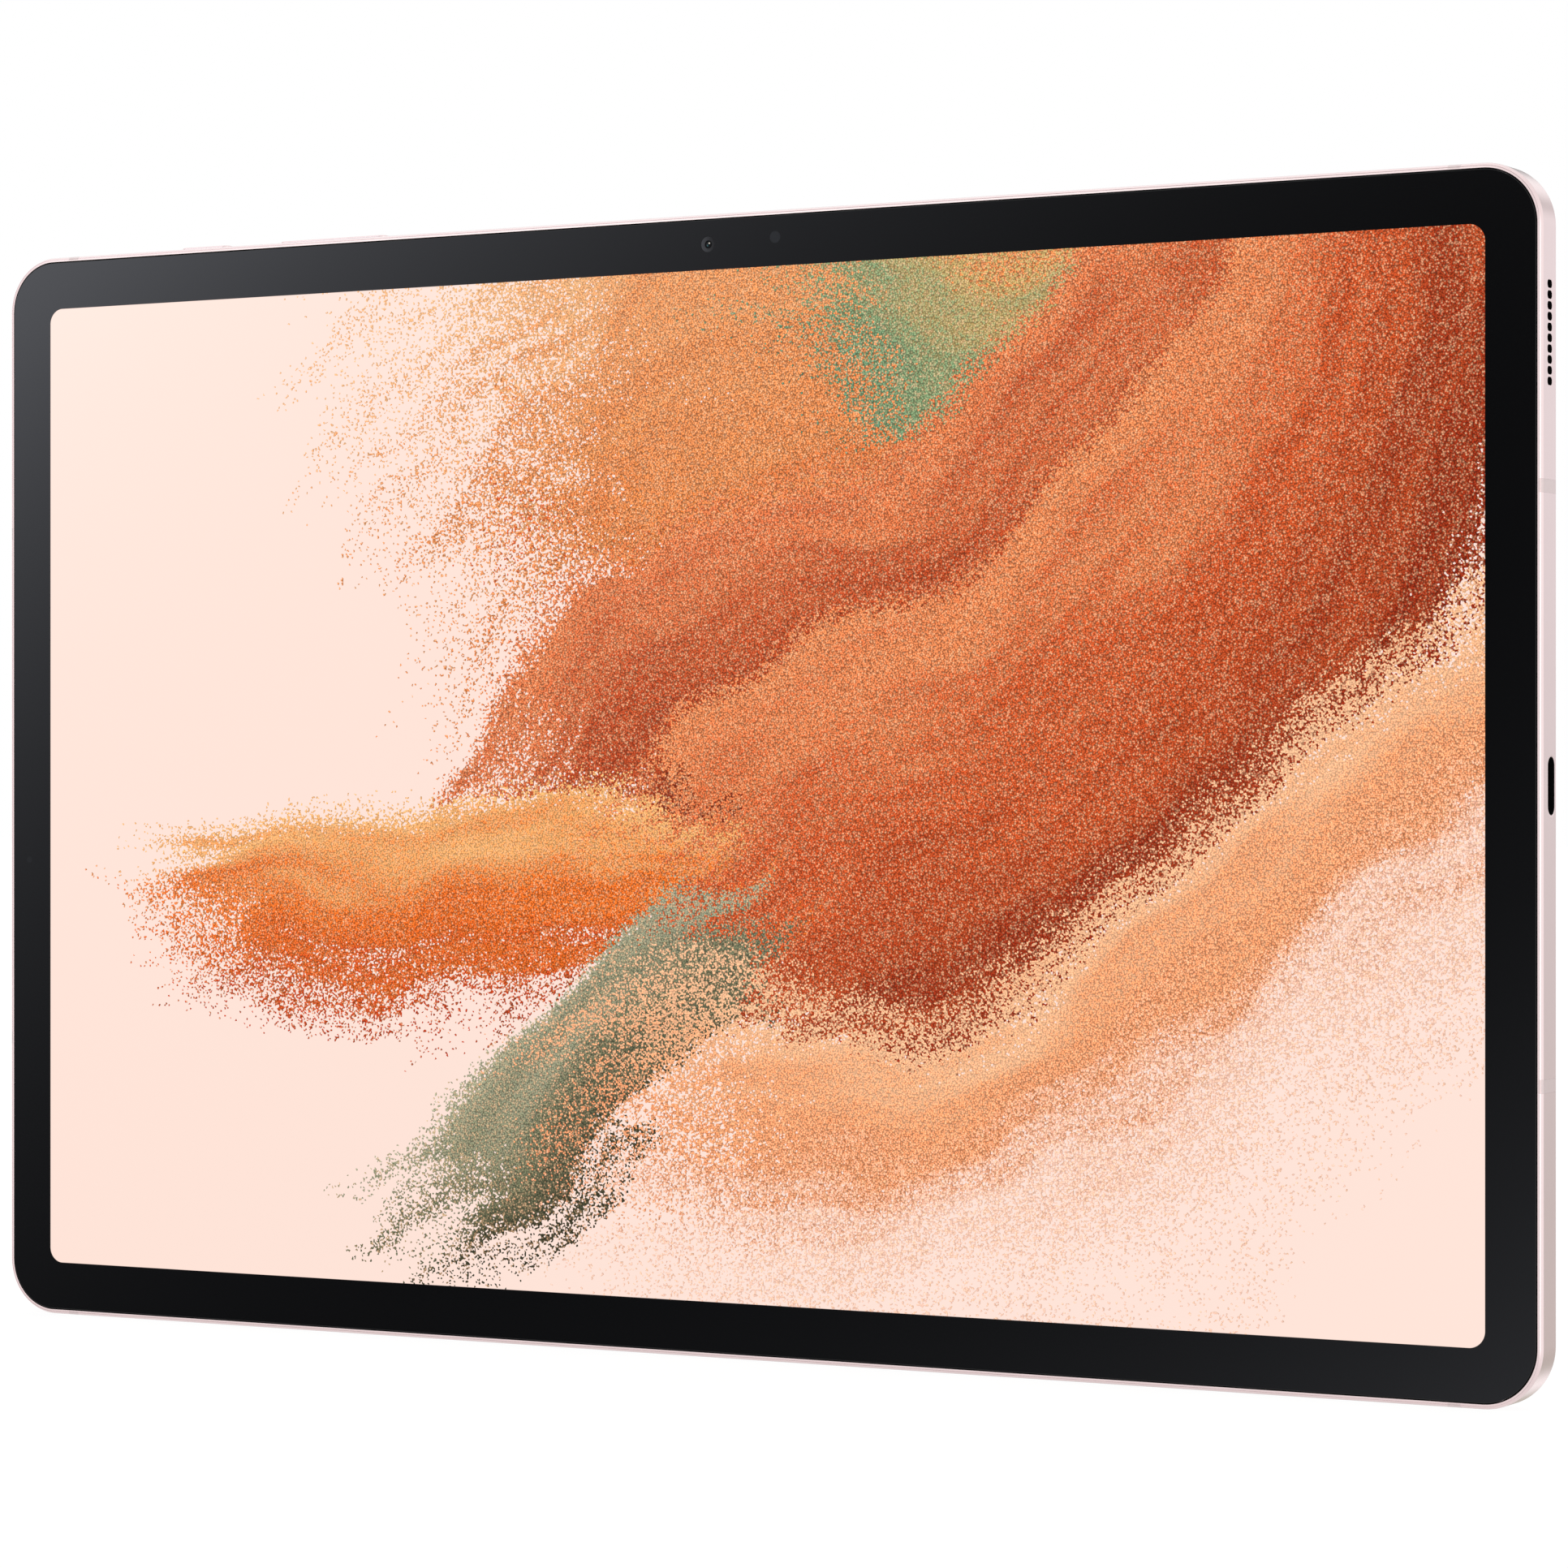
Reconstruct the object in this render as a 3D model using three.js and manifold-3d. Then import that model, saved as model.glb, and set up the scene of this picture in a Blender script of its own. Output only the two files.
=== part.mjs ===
// A 12.4 inch class tablet computer, standing upright in landscape on its long bottom edge.
//
// Every piece is drawn lying flat: x runs along the long side, y runs up from the bottom edge,
// and z runs from the rear face to the screen, with zero at half the thickness. The group at the
// end of the file stands it up, so the screen faces -Y and the long bottom edge lies on Z = 0.
// All sizes are in millimetres.

import * as THREE from 'three';
import { mergeVertices } from 'three/addons/utils/BufferGeometryUtils.js';
import Module from 'manifold-3d';

const wasm = await Module();
wasm.setup();

// ---------------------------------------------------------------- driving dimensions

const BODY_WIDTH = 285;
const BODY_HEIGHT = 185;
const BODY_THICKNESS = 6.3;
const BODY_CORNER_RADIUS = 9.4;

const FRONT_Z = BODY_THICKNESS / 2;
const REAR_Z = - BODY_THICKNESS / 2;
const SIDE_X = BODY_WIDTH / 2;
const MIDDLE_Y = BODY_HEIGHT / 2;

// Edge profile of the housing: a narrow rim beside the glass, then a chamfer.
const RIM_DROP = 0.05;
const CHAMFER_WIDTH = 0.4;
const CHAMFER_DEPTH = 0.65;
const REAR_EDGE_STEPS = [ [ 0, 0.85 ], [ 0.3, 0.25 ], [ 0.7, 0 ] ];

const WALL = 3;
const REAR_SKIN = 0.7;
const FLOOR_Z = REAR_Z + REAR_SKIN;
const LEDGE_Z = 2.35;

const GLASS_INSET = 0.8;
const GLASS_THICKNESS = 0.6;
const GLASS_CLEARANCE = 0.05;
const GLASS_EDGE_CHAMFER = 0.1;
const LAYER_GAP = 0.05;

const LCD_SIZE = [ 270.5, 170.5, 0.9 ];
const BACKLIGHT_SIZE = [ 270.5, 170.5, 0.8 ];
const DIGITIZER_SIZE = [ 268, 168, 0.25 ];
const SUPPORT_PLATE_SIZE = [ 268, 168, 0.3 ];

const BATTERY_CELL = { width: 94, low: 22, high: 124, middleGap: 4, top: - 0.05 };
const BOARD_THICKNESS = 0.8;
const BOARD_TOP = - 0.8;

// Keys on the top edge, measured from the middle of the tablet.
const KEY_PROUD = 0.5;
const KEY_THICKNESS = 2.2;
const KEY_MIDDLE_Z = - 0.2;
const KEY_CLEARANCE = 0.15;
const POWER_KEY = { middle: - 102.1, length: 10 };
const VOLUME_KEY = { middle: - 75.5, length: 21.6 };
const KEY_FLANGE = { low: 180.9, high: 181.7, overhang: 1 };
const SWITCH = { length: 3, low: 178.8, high: 180.5 };

const CARD_TRAY = { middle: - 43.5, middleZ: - 0.78, faceLength: 14.6, faceThickness: 2.2 };

// Openings of the short sides.
const USB = { middleY: 92.5, middleZ: - 0.69, width: 8.5, thickness: 2.56 };
const SPEAKER_SLOT = { first: 152.4, pitch: 1.6, count: 10, width: 1.25, thickness: 1.7, middleZ: - 0.05 };

const DOCK = { length: 16, thickness: 2.4, depth: 1, contacts: 4, pitch: 3.2 };

const ANTENNA = { edgeX: 128.6, sideY: 44.35, width: 2, depth: 0.6, lineWidth: 1, lineDepth: 0.3 };
const ANTENNA_GAP = 0.05;

const FRONT_CAMERA = { x: 0, y: 180.1, radius: 1.2 };
const LIGHT_SENSOR = { x: 12.5, y: 180.6 };
const SIDE_SENSOR = { x: - 138.2, y: 79.5 };
const REAR_CAMERA = { x: - 116.5, y: 171, ringRadius: 6.5, glassRadius: 4.9, proud: 0.8 };

const MICROPHONE_X = [ - 20, 60 ];
const SCREW_PLACES = [ [ - 134.5, 66 ], [ - 105.5, 66 ], [ - 119, 120.5 ], [ 108, 80 ], [ 108, 98 ] ];
const BOSS_RADIUS = 1.8;
const SCREW_SHANK_RADIUS = 0.6;

const CORNER_SEGMENTS = 8;
const PILL_SEGMENTS = 5;
const SLOT_SEGMENTS = 2;

// ---------------------------------------------------------------- finishes

const FINISHES = {
	pinkAluminium: [ 0xe6d3d2, 0.42, 0.75 ],
	pinkPlastic: [ 0xd3bfbe, 0.55, 0 ],
	blackGlass: [ 0x15161a, 0.06, 0 ],
	displayGlass: [ 0x3a3d44, 0.15, 0 ],
	whitePlastic: [ 0xd9dad6, 0.5, 0 ],
	film: [ 0x8a6a3c, 0.45, 0.2 ],
	blackPlastic: [ 0x1c1c1e, 0.55, 0 ],
	adhesive: [ 0x1a1a1a, 0.8, 0 ],
	boardGreen: [ 0x1e4a35, 0.5, 0.05 ],
	steel: [ 0xb9bcc0, 0.3, 0.95 ],
	gold: [ 0xd8b15a, 0.28, 1 ],
	battery: [ 0x2a2b2e, 0.6, 0 ],
	silicon: [ 0x303236, 0.35, 0 ],
	lens: [ 0x101522, 0.04, 0 ],
};

function finish( name ) {
	const [ color, roughness, metalness ] = FINISHES[ name ];
	return new THREE.MeshStandardMaterial( { color, roughness, metalness } );
}

// ---------------------------------------------------------------- shapes and booleans

function solid( geometry ) {
	const bare = geometry.clone();
	bare.deleteAttribute( 'normal' );
	bare.deleteAttribute( 'uv' );
	const merged = mergeVertices( bare, 1e-4 );
	const vertProperties = Float32Array.from( merged.attributes.position.array );
	const triVerts = Uint32Array.from( merged.index.array );
	return new wasm.Manifold( new wasm.Mesh( { numProp: 3, vertProperties, triVerts } ) );
}

function surface( manifold ) {
	const mesh = manifold.getMesh();
	const geometry = new THREE.BufferGeometry();
	geometry.setAttribute( 'position', new THREE.BufferAttribute( mesh.vertProperties, 3 ) );
	geometry.setIndex( new THREE.BufferAttribute( mesh.triVerts, 1 ) );
	geometry.computeVertexNormals();
	return geometry;
}

function cut( body, ...tools ) {
	return tools.reduce( ( rest, tool ) => rest.subtract( tool ), body );
}

function join( first, ...others ) {
	return others.reduce( ( whole, other ) => whole.add( other ), first );
}

// A box between two corners.
function block( [ x0, y0, z0 ], [ x1, y1, z1 ] ) {
	const box = new THREE.BoxGeometry( x1 - x0, y1 - y0, z1 - z0 );
	return box.translate( ( x0 + x1 ) / 2, ( y0 + y1 ) / 2, ( z0 + z1 ) / 2 );
}

function extrude( shape, depth, curveSegments = PILL_SEGMENTS ) {
	return new THREE.ExtrudeGeometry( shape, { depth, bevelEnabled: false, curveSegments } );
}

// A rounded rectangle about the origin.
function roundedShape( width, height, radius ) {
	const halfWidth = width / 2 - radius;
	const halfHeight = height / 2 - radius;
	const shape = new THREE.Shape();
	shape.absarc( halfWidth, halfHeight, radius, 0, Math.PI / 2 );
	shape.absarc( - halfWidth, halfHeight, radius, Math.PI / 2, Math.PI );
	shape.absarc( - halfWidth, - halfHeight, radius, Math.PI, 3 * Math.PI / 2 );
	shape.absarc( halfWidth, - halfHeight, radius, 3 * Math.PI / 2, 2 * Math.PI );
	return shape;
}

// A pill is a rounded rectangle with round ends. A hair less than the full radius keeps its
// straight stretches, so that its outline has no doubled points.
function pillShape( length, thickness ) {
	return roundedShape( length, thickness, thickness / 2 - 0.01 );
}

const X_AXIS = new THREE.Vector3( 1, 0, 0 );
const Y_AXIS = new THREE.Vector3( 0, 1, 0 );
const Z_AXIS = new THREE.Vector3( 0, 0, 1 );
const INTO_TOP_EDGE = new THREE.Matrix4().makeBasis( X_AXIS, Z_AXIS, Y_AXIS.clone().negate() );
const INTO_SIDE = new THREE.Matrix4().makeBasis( Y_AXIS, Z_AXIS, X_AXIS );

// A shape whose long way lies along x, pushed through the top or bottom edge from y0 up to y1.
function acrossEdge( shape, x, z, y0, y1 ) {
	return extrude( shape, y1 - y0 ).applyMatrix4( INTO_TOP_EDGE ).translate( x, y1, z );
}

// A shape whose long way lies along y, pushed through a short side from x0 to x1.
function acrossSide( shape, y, z, x0, x1, curveSegments = PILL_SEGMENTS ) {
	return extrude( shape, x1 - x0, curveSegments ).applyMatrix4( INTO_SIDE ).translate( x0, y, z );
}

// An upright cylinder from z0 to z1.
function post( radius, x, y, z0, z1, sides = 12 ) {
	const cylinder = new THREE.CylinderGeometry( radius, radius, z1 - z0, sides );
	return cylinder.rotateX( Math.PI / 2 ).translate( x, y, ( z0 + z1 ) / 2 );
}

// A round piece turned about an upright axis, from a closed profile of [ radius, z ] points.
function turned( profile, x, y, sides = 24 ) {
	const points = profile.map( ( [ radius, z ] ) => new THREE.Vector2( radius, z ) );
	return new THREE.LatheGeometry( points, sides ).rotateX( Math.PI / 2 ).translate( x, y, 0 );
}

// One outline of a plate: a rounded rectangle drawn in by the inset all round.
function plateOutline( width, height, radius, inset, z ) {
	const points = [];
	for ( let corner = 0; corner < 4; corner ++ ) {
		const signX = corner === 0 || corner === 3 ? 1 : - 1;
		const signY = corner < 2 ? 1 : - 1;
		for ( let step = 0; step <= CORNER_SEGMENTS; step ++ ) {
			const angle = ( corner + step / CORNER_SEGMENTS ) * Math.PI / 2;
			const x = signX * ( width / 2 - radius ) + ( radius - inset ) * Math.cos( angle );
			const y = signY * ( height / 2 - radius ) + ( radius - inset ) * Math.sin( angle );
			points.push( x, y + MIDDLE_Y, z );
		}
	}
	return points;
}

// A plate centred on the tablet, with its outline drawn in by a given inset at each level.
function plate( width, height, radius, levels ) {
	const count = 4 * ( CORNER_SEGMENTS + 1 );
	const positions = levels.flatMap( ( [ z, inset ] ) => plateOutline( width, height, radius, inset, z ) );
	const bottomMiddle = positions.length / 3;
	const topMiddle = bottomMiddle + 1;
	const lastRing = ( levels.length - 1 ) * count;
	positions.push( 0, MIDDLE_Y, levels[ 0 ][ 0 ] );
	positions.push( 0, MIDDLE_Y, levels[ levels.length - 1 ][ 0 ] );

	const faces = [];
	for ( let here = 0; here < count; here ++ ) {
		const next = ( here + 1 ) % count;
		faces.push( bottomMiddle, next, here );
		faces.push( topMiddle, lastRing + here, lastRing + next );
		for ( let ring = 0; ring < lastRing; ring += count ) {
			faces.push( ring + here, ring + next, ring + count + next );
			faces.push( ring + here, ring + count + next, ring + count + here );
		}
	}

	const geometry = new THREE.BufferGeometry();
	geometry.setAttribute( 'position', new THREE.Float32BufferAttribute( positions, 3 ) );
	geometry.setIndex( faces );
	geometry.computeVertexNormals();
	return geometry;
}

// A flat layer centred on the tablet, hanging down from the given height.
function layer( [ width, height, thickness ], top, radius = 2.5 ) {
	return plate( width, height, radius, [ [ top - thickness, 0 ], [ top, 0 ] ] );
}

// ---------------------------------------------------------------- the assembly

const flat = new THREE.Group();

function add( name, shape, finishName ) {
	const geometry = shape.isBufferGeometry ? shape : surface( shape );
	const mesh = new THREE.Mesh( geometry, finish( finishName ) );
	mesh.name = name;
	flat.add( mesh );
}

// ---------------------------------------------------------------- housing

function outerForm() {
	const levels = REAR_EDGE_STEPS.map( ( [ rise, inset ] ) => [ REAR_Z + rise, inset ] );
	const rimZ = FRONT_Z - RIM_DROP;
	levels.push( [ rimZ - CHAMFER_DEPTH, 0 ] );
	levels.push( [ rimZ, CHAMFER_WIDTH ] );
	return solid( plate( BODY_WIDTH, BODY_HEIGHT, BODY_CORNER_RADIUS, levels ) );
}

function housingHollow() {
	const insideWidth = BODY_WIDTH - 2 * WALL;
	const insideHeight = BODY_HEIGHT - 2 * WALL;
	const above = FRONT_Z + 1;
	const insideRadius = BODY_CORNER_RADIUS - WALL;
	const room = plate( insideWidth, insideHeight, insideRadius, [ [ FLOOR_Z, 0 ], [ above, 0 ] ] );
	const seatInset = GLASS_INSET - GLASS_CLEARANCE;
	const seatRadius = BODY_CORNER_RADIUS - seatInset;
	const seatWidth = BODY_WIDTH - 2 * seatInset;
	const seatHeight = BODY_HEIGHT - 2 * seatInset;
	const seat = plate( seatWidth, seatHeight, seatRadius, [ [ LEDGE_Z, 0 ], [ above, 0 ] ] );
	return join( solid( room ), solid( seat ) );
}

function speakerSlots( side ) {
	const shape = roundedShape( SPEAKER_SLOT.width, SPEAKER_SLOT.thickness, SPEAKER_SLOT.width / 2 - 0.01 );
	const start = side > 0 ? SIDE_X - WALL - 0.5 : - SIDE_X - 0.5;
	const end = start + WALL + 1;
	const slots = [];
	for ( let index = 0; index < SPEAKER_SLOT.count; index ++ ) {
		const y = SPEAKER_SLOT.first + index * SPEAKER_SLOT.pitch;
		slots.push( solid( acrossSide( shape, y, SPEAKER_SLOT.middleZ, start, end, SLOT_SEGMENTS ) ) );
	}
	return slots;
}

// The wall is thinned behind the charging port, so that the socket reaches the outside.
function usbOpening() {
	const opening = pillShape( USB.width, USB.thickness );
	const pocket = pillShape( 9.5, 3.6 );
	const innerWall = SIDE_X - WALL;
	return join(
		solid( acrossSide( opening, USB.middleY, USB.middleZ, innerWall, SIDE_X + 1 ) ),
		solid( acrossSide( pocket, USB.middleY, USB.middleZ, innerWall - 1, SIDE_X - 1 ) ),
	);
}

function topEdgeOpening( length, thickness, x, z ) {
	const outline = pillShape( length, thickness );
	return solid( acrossEdge( outline, x, z, BODY_HEIGHT - WALL - 1, BODY_HEIGHT + 1 ) );
}

function keyOpening( key ) {
	const spare = 2 * KEY_CLEARANCE;
	return topEdgeOpening( key.length + spare, KEY_THICKNESS + spare, key.middle, KEY_MIDDLE_Z );
}

function microphoneHole( x ) {
	const hole = new THREE.CylinderGeometry( 0.5, 0.5, WALL + 2, 8 );
	return solid( hole.translate( x, BODY_HEIGHT - WALL / 2, KEY_MIDDLE_Z ) );
}

function screwBosses() {
	return SCREW_PLACES.map( ( [ x, y ] ) => {
		const boss = solid( post( BOSS_RADIUS, x, y, FLOOR_Z - 0.2, BOARD_TOP - BOARD_THICKNESS - 0.05 ) );
		const hole = solid( post( SCREW_SHANK_RADIUS + 0.1, x, y, FLOOR_Z + 0.1, 0 ) );
		return cut( boss, hole );
	} );
}

// The plastic insert of one corner: it crosses the long edge and the short side, and a narrow
// line in the rear face joins the two crossings. The gap is left out all round it.
function antennaForm( signX, signY, gap ) {
	const half = ANTENNA.width / 2 + gap;
	const halfLine = ANTENNA.lineWidth / 2 + gap;
	const depth = ANTENNA.depth + gap;
	const lineTop = REAR_Z + ANTENNA.lineDepth + gap;
	const edgeX = signX * ANTENNA.edgeX;
	const edgeY = MIDDLE_Y + signY * MIDDLE_Y;
	const sideX = signX * SIDE_X;
	const sideY = MIDDLE_Y + signY * ANTENNA.sideY;
	const [ lowY, highY ] = [ edgeY - signY * depth, edgeY + signY ].sort( ( a, b ) => a - b );
	const [ lowX, highX ] = [ sideX - signX * depth, sideX + signX ].sort( ( a, b ) => a - b );
	const [ lineLowY, lineHighY ] = [ sideY, edgeY - signY * 0.5 ].sort( ( a, b ) => a - b );
	const [ lineLowX, lineHighX ] = [ edgeX, sideX - signX * 0.5 ].sort( ( a, b ) => a - b );
	return join(
		solid( block( [ edgeX - half, lowY, REAR_Z - 1 ], [ edgeX + half, highY, FRONT_Z + 1 ] ) ),
		solid( block( [ lowX, sideY - half, REAR_Z - 1 ], [ highX, sideY + half, FRONT_Z + 1 ] ) ),
		solid( block( [ edgeX - halfLine, lineLowY, REAR_Z - 1 ], [ edgeX + halfLine, lineHighY, lineTop ] ) ),
		solid( block( [ lineLowX, sideY - halfLine, REAR_Z - 1 ], [ lineHighX, sideY + halfLine, lineTop ] ) ),
	);
}

const CORNERS = [
	[ 'top_right', 1, 1 ],
	[ 'top_left', - 1, 1 ],
	[ 'bottom_left', - 1, - 1 ],
	[ 'bottom_right', 1, - 1 ],
];

function trayOpening() {
	const { middle, middleZ, faceLength, faceThickness } = CARD_TRAY;
	return topEdgeOpening( faceLength + 0.3, faceThickness + 0.3, middle, middleZ );
}

function rearCameraHole() {
	const { x, y, ringRadius } = REAR_CAMERA;
	return solid( post( ringRadius + 0.1, x, y, REAR_Z - 1, FLOOR_Z + 1, 24 ) );
}

function addHousing() {
	const outer = outerForm();
	const openings = [
		usbOpening(),
		keyOpening( POWER_KEY ),
		keyOpening( VOLUME_KEY ),
		trayOpening(),
		solid( acrossEdge( pillShape( DOCK.length, DOCK.thickness ), 0, 0, - 1, DOCK.depth ) ),
		rearCameraHole(),
		...MICROPHONE_X.map( microphoneHole ),
		...speakerSlots( 1 ),
		...speakerSlots( - 1 ),
		...CORNERS.map( ( [ , signX, signY ] ) => antennaForm( signX, signY, ANTENNA_GAP ) ),
	];
	const shell = join( cut( outer, housingHollow() ), ...screwBosses() );
	add( 'rear_housing', cut( shell, ...openings ), 'pinkAluminium' );
	for ( const [ corner, signX, signY ] of CORNERS ) {
		add( `antenna_band_${ corner }`, outer.intersect( antennaForm( signX, signY, 0 ) ), 'pinkPlastic' );
	}
}

// ---------------------------------------------------------------- display

function addDisplay() {
	const glassBottom = FRONT_Z - GLASS_THICKNESS;
	const glassWidth = BODY_WIDTH - 2 * GLASS_INSET;
	const glassHeight = BODY_HEIGHT - 2 * GLASS_INSET;
	const glassRadius = BODY_CORNER_RADIUS - GLASS_INSET;
	const edge = GLASS_EDGE_CHAMFER;
	const levels = [ [ glassBottom, 0 ], [ FRONT_Z - edge, 0 ], [ FRONT_Z, edge ] ];
	add( 'cover_glass', plate( glassWidth, glassHeight, glassRadius, levels ), 'blackGlass' );

	const tapeBottom = LEDGE_Z + 0.02;
	const tapeTop = glassBottom - 0.02;
	const tapeEdge = [ [ tapeBottom, 0.3 ], [ tapeTop, 0.3 ] ];
	const tapeWindow = [ [ 0, 2.1 ], [ FRONT_Z, 2.1 ] ];
	const tape = solid( plate( glassWidth, glassHeight, glassRadius, tapeEdge ) );
	const window = solid( plate( glassWidth, glassHeight, glassRadius, tapeWindow ) );
	add( 'glass_adhesive', cut( tape, window ), 'adhesive' );

	let top = glassBottom - LAYER_GAP;
	const stack = [
		[ 'lcd_panel', LCD_SIZE, 'displayGlass' ],
		[ 'backlight_unit', BACKLIGHT_SIZE, 'whitePlastic' ],
		[ 'digitizer_sheet', DIGITIZER_SIZE, 'film' ],
		[ 'support_plate', SUPPORT_PLATE_SIZE, 'steel' ],
	];
	for ( const [ name, size, finishName ] of stack ) {
		add( name, layer( size, top ), finishName );
		top -= size[ 2 ] + LAYER_GAP;
	}
	addDisplayFlex();
}

// A ribbon that leaves the panel's left edge, turns down beside the layers and lands on the board.
function addDisplayFlex() {
	const left = - LCD_SIZE[ 0 ] / 2;
	const thickness = 0.15;
	const outer = left - 1.3;
	const upper = 1.5;
	const lower = BOARD_TOP + 0.15;
	const profile = new THREE.Shape();
	profile.moveTo( left - 0.25, upper );
	profile.lineTo( outer, upper );
	profile.lineTo( outer, lower );
	profile.lineTo( left + 1.6, lower );
	profile.lineTo( left + 1.6, lower + thickness );
	profile.lineTo( outer + thickness, lower + thickness );
	profile.lineTo( outer + thickness, upper - thickness );
	profile.lineTo( left - 0.25, upper - thickness );
	const ribbon = extrude( profile, 24 ).rotateX( Math.PI / 2 ).translate( 0, 118, 0 );
	add( 'display_flex', ribbon, 'film' );
}

// ---------------------------------------------------------------- battery and boards

function addBattery() {
	const { width, low, high, middleGap, top } = BATTERY_CELL;
	const bottom = FLOOR_Z + LAYER_GAP;
	const inner = middleGap / 2;
	add( 'battery_cell_left', block( [ - inner - width, low, bottom ], [ - inner, high, top ] ), 'battery' );
	add( 'battery_cell_right', block( [ inner, low, bottom ], [ inner + width, high, top ] ), 'battery' );
	const board = block( [ - 75, high + 0.5, bottom ], [ 75, high + 5, bottom + 1.1 ] );
	add( 'battery_board', board, 'boardGreen' );
}

function boardHoles() {
	return SCREW_PLACES.map( ( [ x, y ] ) => solid( post( SCREW_SHANK_RADIUS + 0.3, x, y, - 2, 0, 10 ) ) );
}

function addBoards() {
	const outline = new THREE.Shape();
	outline.moveTo( - 138, 8 );
	outline.lineTo( - 60, 8 );
	outline.lineTo( - 60, 18 );
	outline.lineTo( - 102, 18 );
	outline.lineTo( - 102, 124 );
	outline.lineTo( - 138, 124 );
	const bottom = BOARD_TOP - BOARD_THICKNESS;
	const mainBoard = extrude( outline, BOARD_THICKNESS ).translate( 0, 0, bottom );
	add( 'main_board', cut( solid( mainBoard ), ...boardHoles() ), 'boardGreen' );
	const subBoard = block( [ 104, 76, bottom ], [ 135.1, 109, BOARD_TOP ] );
	add( 'charging_board', cut( solid( subBoard ), ...boardHoles() ), 'boardGreen' );

	const chipBottom = BOARD_TOP + 0.02;
	add( 'processor', block( [ - 127, 94, chipBottom ], [ - 112, 109, chipBottom + 0.4 ] ), 'silicon' );
	add( 'memory_chip', block( [ - 126, 37, chipBottom ], [ - 114, 51, chipBottom + 0.4 ] ), 'silicon' );
	addShieldCan( 'processor_shield', 88, 115 );
	addShieldCan( 'memory_shield', 30, 58 );
}

// A pressed metal lid, open towards the board.
function addShieldCan( name, low, high ) {
	const bottom = BOARD_TOP + 0.02;
	const [ left, right, top, sheet ] = [ - 132, - 107, - 0.12, 0.15 ];
	const outside = solid( block( [ left, low, bottom ], [ right, high, top ] ) );
	const insideLow = [ left + sheet, low + sheet, bottom - 1 ];
	const inside = solid( block( insideLow, [ right - sheet, high - sheet, top - sheet ] ) );
	add( name, cut( outside, inside ), 'steel' );
}

function addScrews() {
	const headBottom = BOARD_TOP + 0.03;
	const headTop = headBottom + 0.5;
	const tip = FLOOR_Z + 0.25;
	const shank = SCREW_SHANK_RADIUS;
	const profile = [
		[ 0, tip ], [ shank, tip ], [ shank, headBottom ], [ 1.3, headBottom ], [ 1.3, headTop - 0.15 ],
		[ 1.1, headTop ], [ 0.5, headTop ], [ 0.5, headTop - 0.3 ], [ 0, headTop - 0.3 ],
	];
	SCREW_PLACES.forEach( ( [ x, y ], index ) => {
		add( `board_screw_${ index + 1 }`, solid( turned( profile, x, y, 10 ) ), 'steel' );
	} );
}

// The ribbon from the main board, over the top of the battery, to the charging board.
function addBoardFlex() {
	const outline = new THREE.Shape();
	outline.moveTo( - 111.5, 118 );
	outline.lineTo( - 106, 118 );
	outline.lineTo( - 106, 131 );
	outline.lineTo( 105, 131 );
	outline.lineTo( 105, 103 );
	outline.lineTo( 111, 103 );
	outline.lineTo( 111, 137 );
	outline.lineTo( - 111.5, 137 );
	add( 'board_flex', extrude( outline, 0.15 ).translate( 0, 0, BOARD_TOP + 0.1 ), 'film' );
}

function addUsbPort() {
	const { middleY, middleZ, width, thickness } = USB;
	const start = 135.5;
	const end = SIDE_X - 1.1;
	const outline = pillShape( width + 0.6, thickness + 0.6 );
	const shell = solid( acrossSide( outline, middleY, middleZ, start, end ) );
	const room = solid( acrossSide( pillShape( width, thickness ), middleY, middleZ, start + 0.4, end + 1 ) );
	add( 'usb_c_shell', cut( shell, room ), 'steel' );
	const tongue = acrossSide( pillShape( 6.7, 0.7 ), middleY, middleZ, start + 0.45, end - 0.6 );
	add( 'usb_c_tongue', tongue, 'blackPlastic' );
}

// ---------------------------------------------------------------- sound, cameras and sensors

function sidewaysBlock( side, [ x0, y0, z0 ], [ x1, y1, z1 ] ) {
	return side > 0 ? block( [ x0, y0, z0 ], [ x1, y1, z1 ] ) : block( [ - x1, y0, z0 ], [ - x0, y1, z1 ] );
}

// Each speaker box lies behind the display and reaches up beside it to its row of slots.
function addSpeaker( name, side ) {
	const bottom = FLOOR_Z + LAYER_GAP;
	const box = sidewaysBlock( side, [ 112, 128, bottom ], [ 135.7, 160, - 0.05 ] );
	const mouth = sidewaysBlock( side, [ 135.6, 150.5, bottom ], [ 139, 169, 1.6 ] );
	add( `speaker_${ name }`, join( solid( box ), solid( mouth ) ), 'blackPlastic' );
	const mesh = sidewaysBlock( side, [ 139.12, 151, - 1.3 ], [ 139.32, 168.2, 1.2 ] );
	add( `speaker_mesh_${ name }`, mesh, 'adhesive' );
}

function addFrontSensors() {
	const { x, y, radius } = FRONT_CAMERA;
	const body = block( [ x - 3, 178, - 1.2 ], [ x + 3, 181.8, 1.9 ] );
	const barrel = post( radius + 0.4, x, 179.9, 1.8, 2.3, 16 );
	const pocket = post( radius, x, y, 2.1, 3, 16 );
	add( 'front_camera', cut( join( solid( body ), solid( barrel ) ), solid( pocket ) ), 'blackPlastic' );
	add( 'front_camera_lens', post( radius - 0.15, x, y, 2.15, 2.4, 16 ), 'lens' );
	addSensor( 'light_sensor', LIGHT_SENSOR, 1.1 );
	addSensor( 'side_sensor', SIDE_SENSOR, 0.7 );
}

function addSensor( name, { x, y }, half ) {
	add( name, block( [ x - half, y - half, 1.5 ], [ x + half, y + half, 2.3 ] ), 'silicon' );
}

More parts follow.
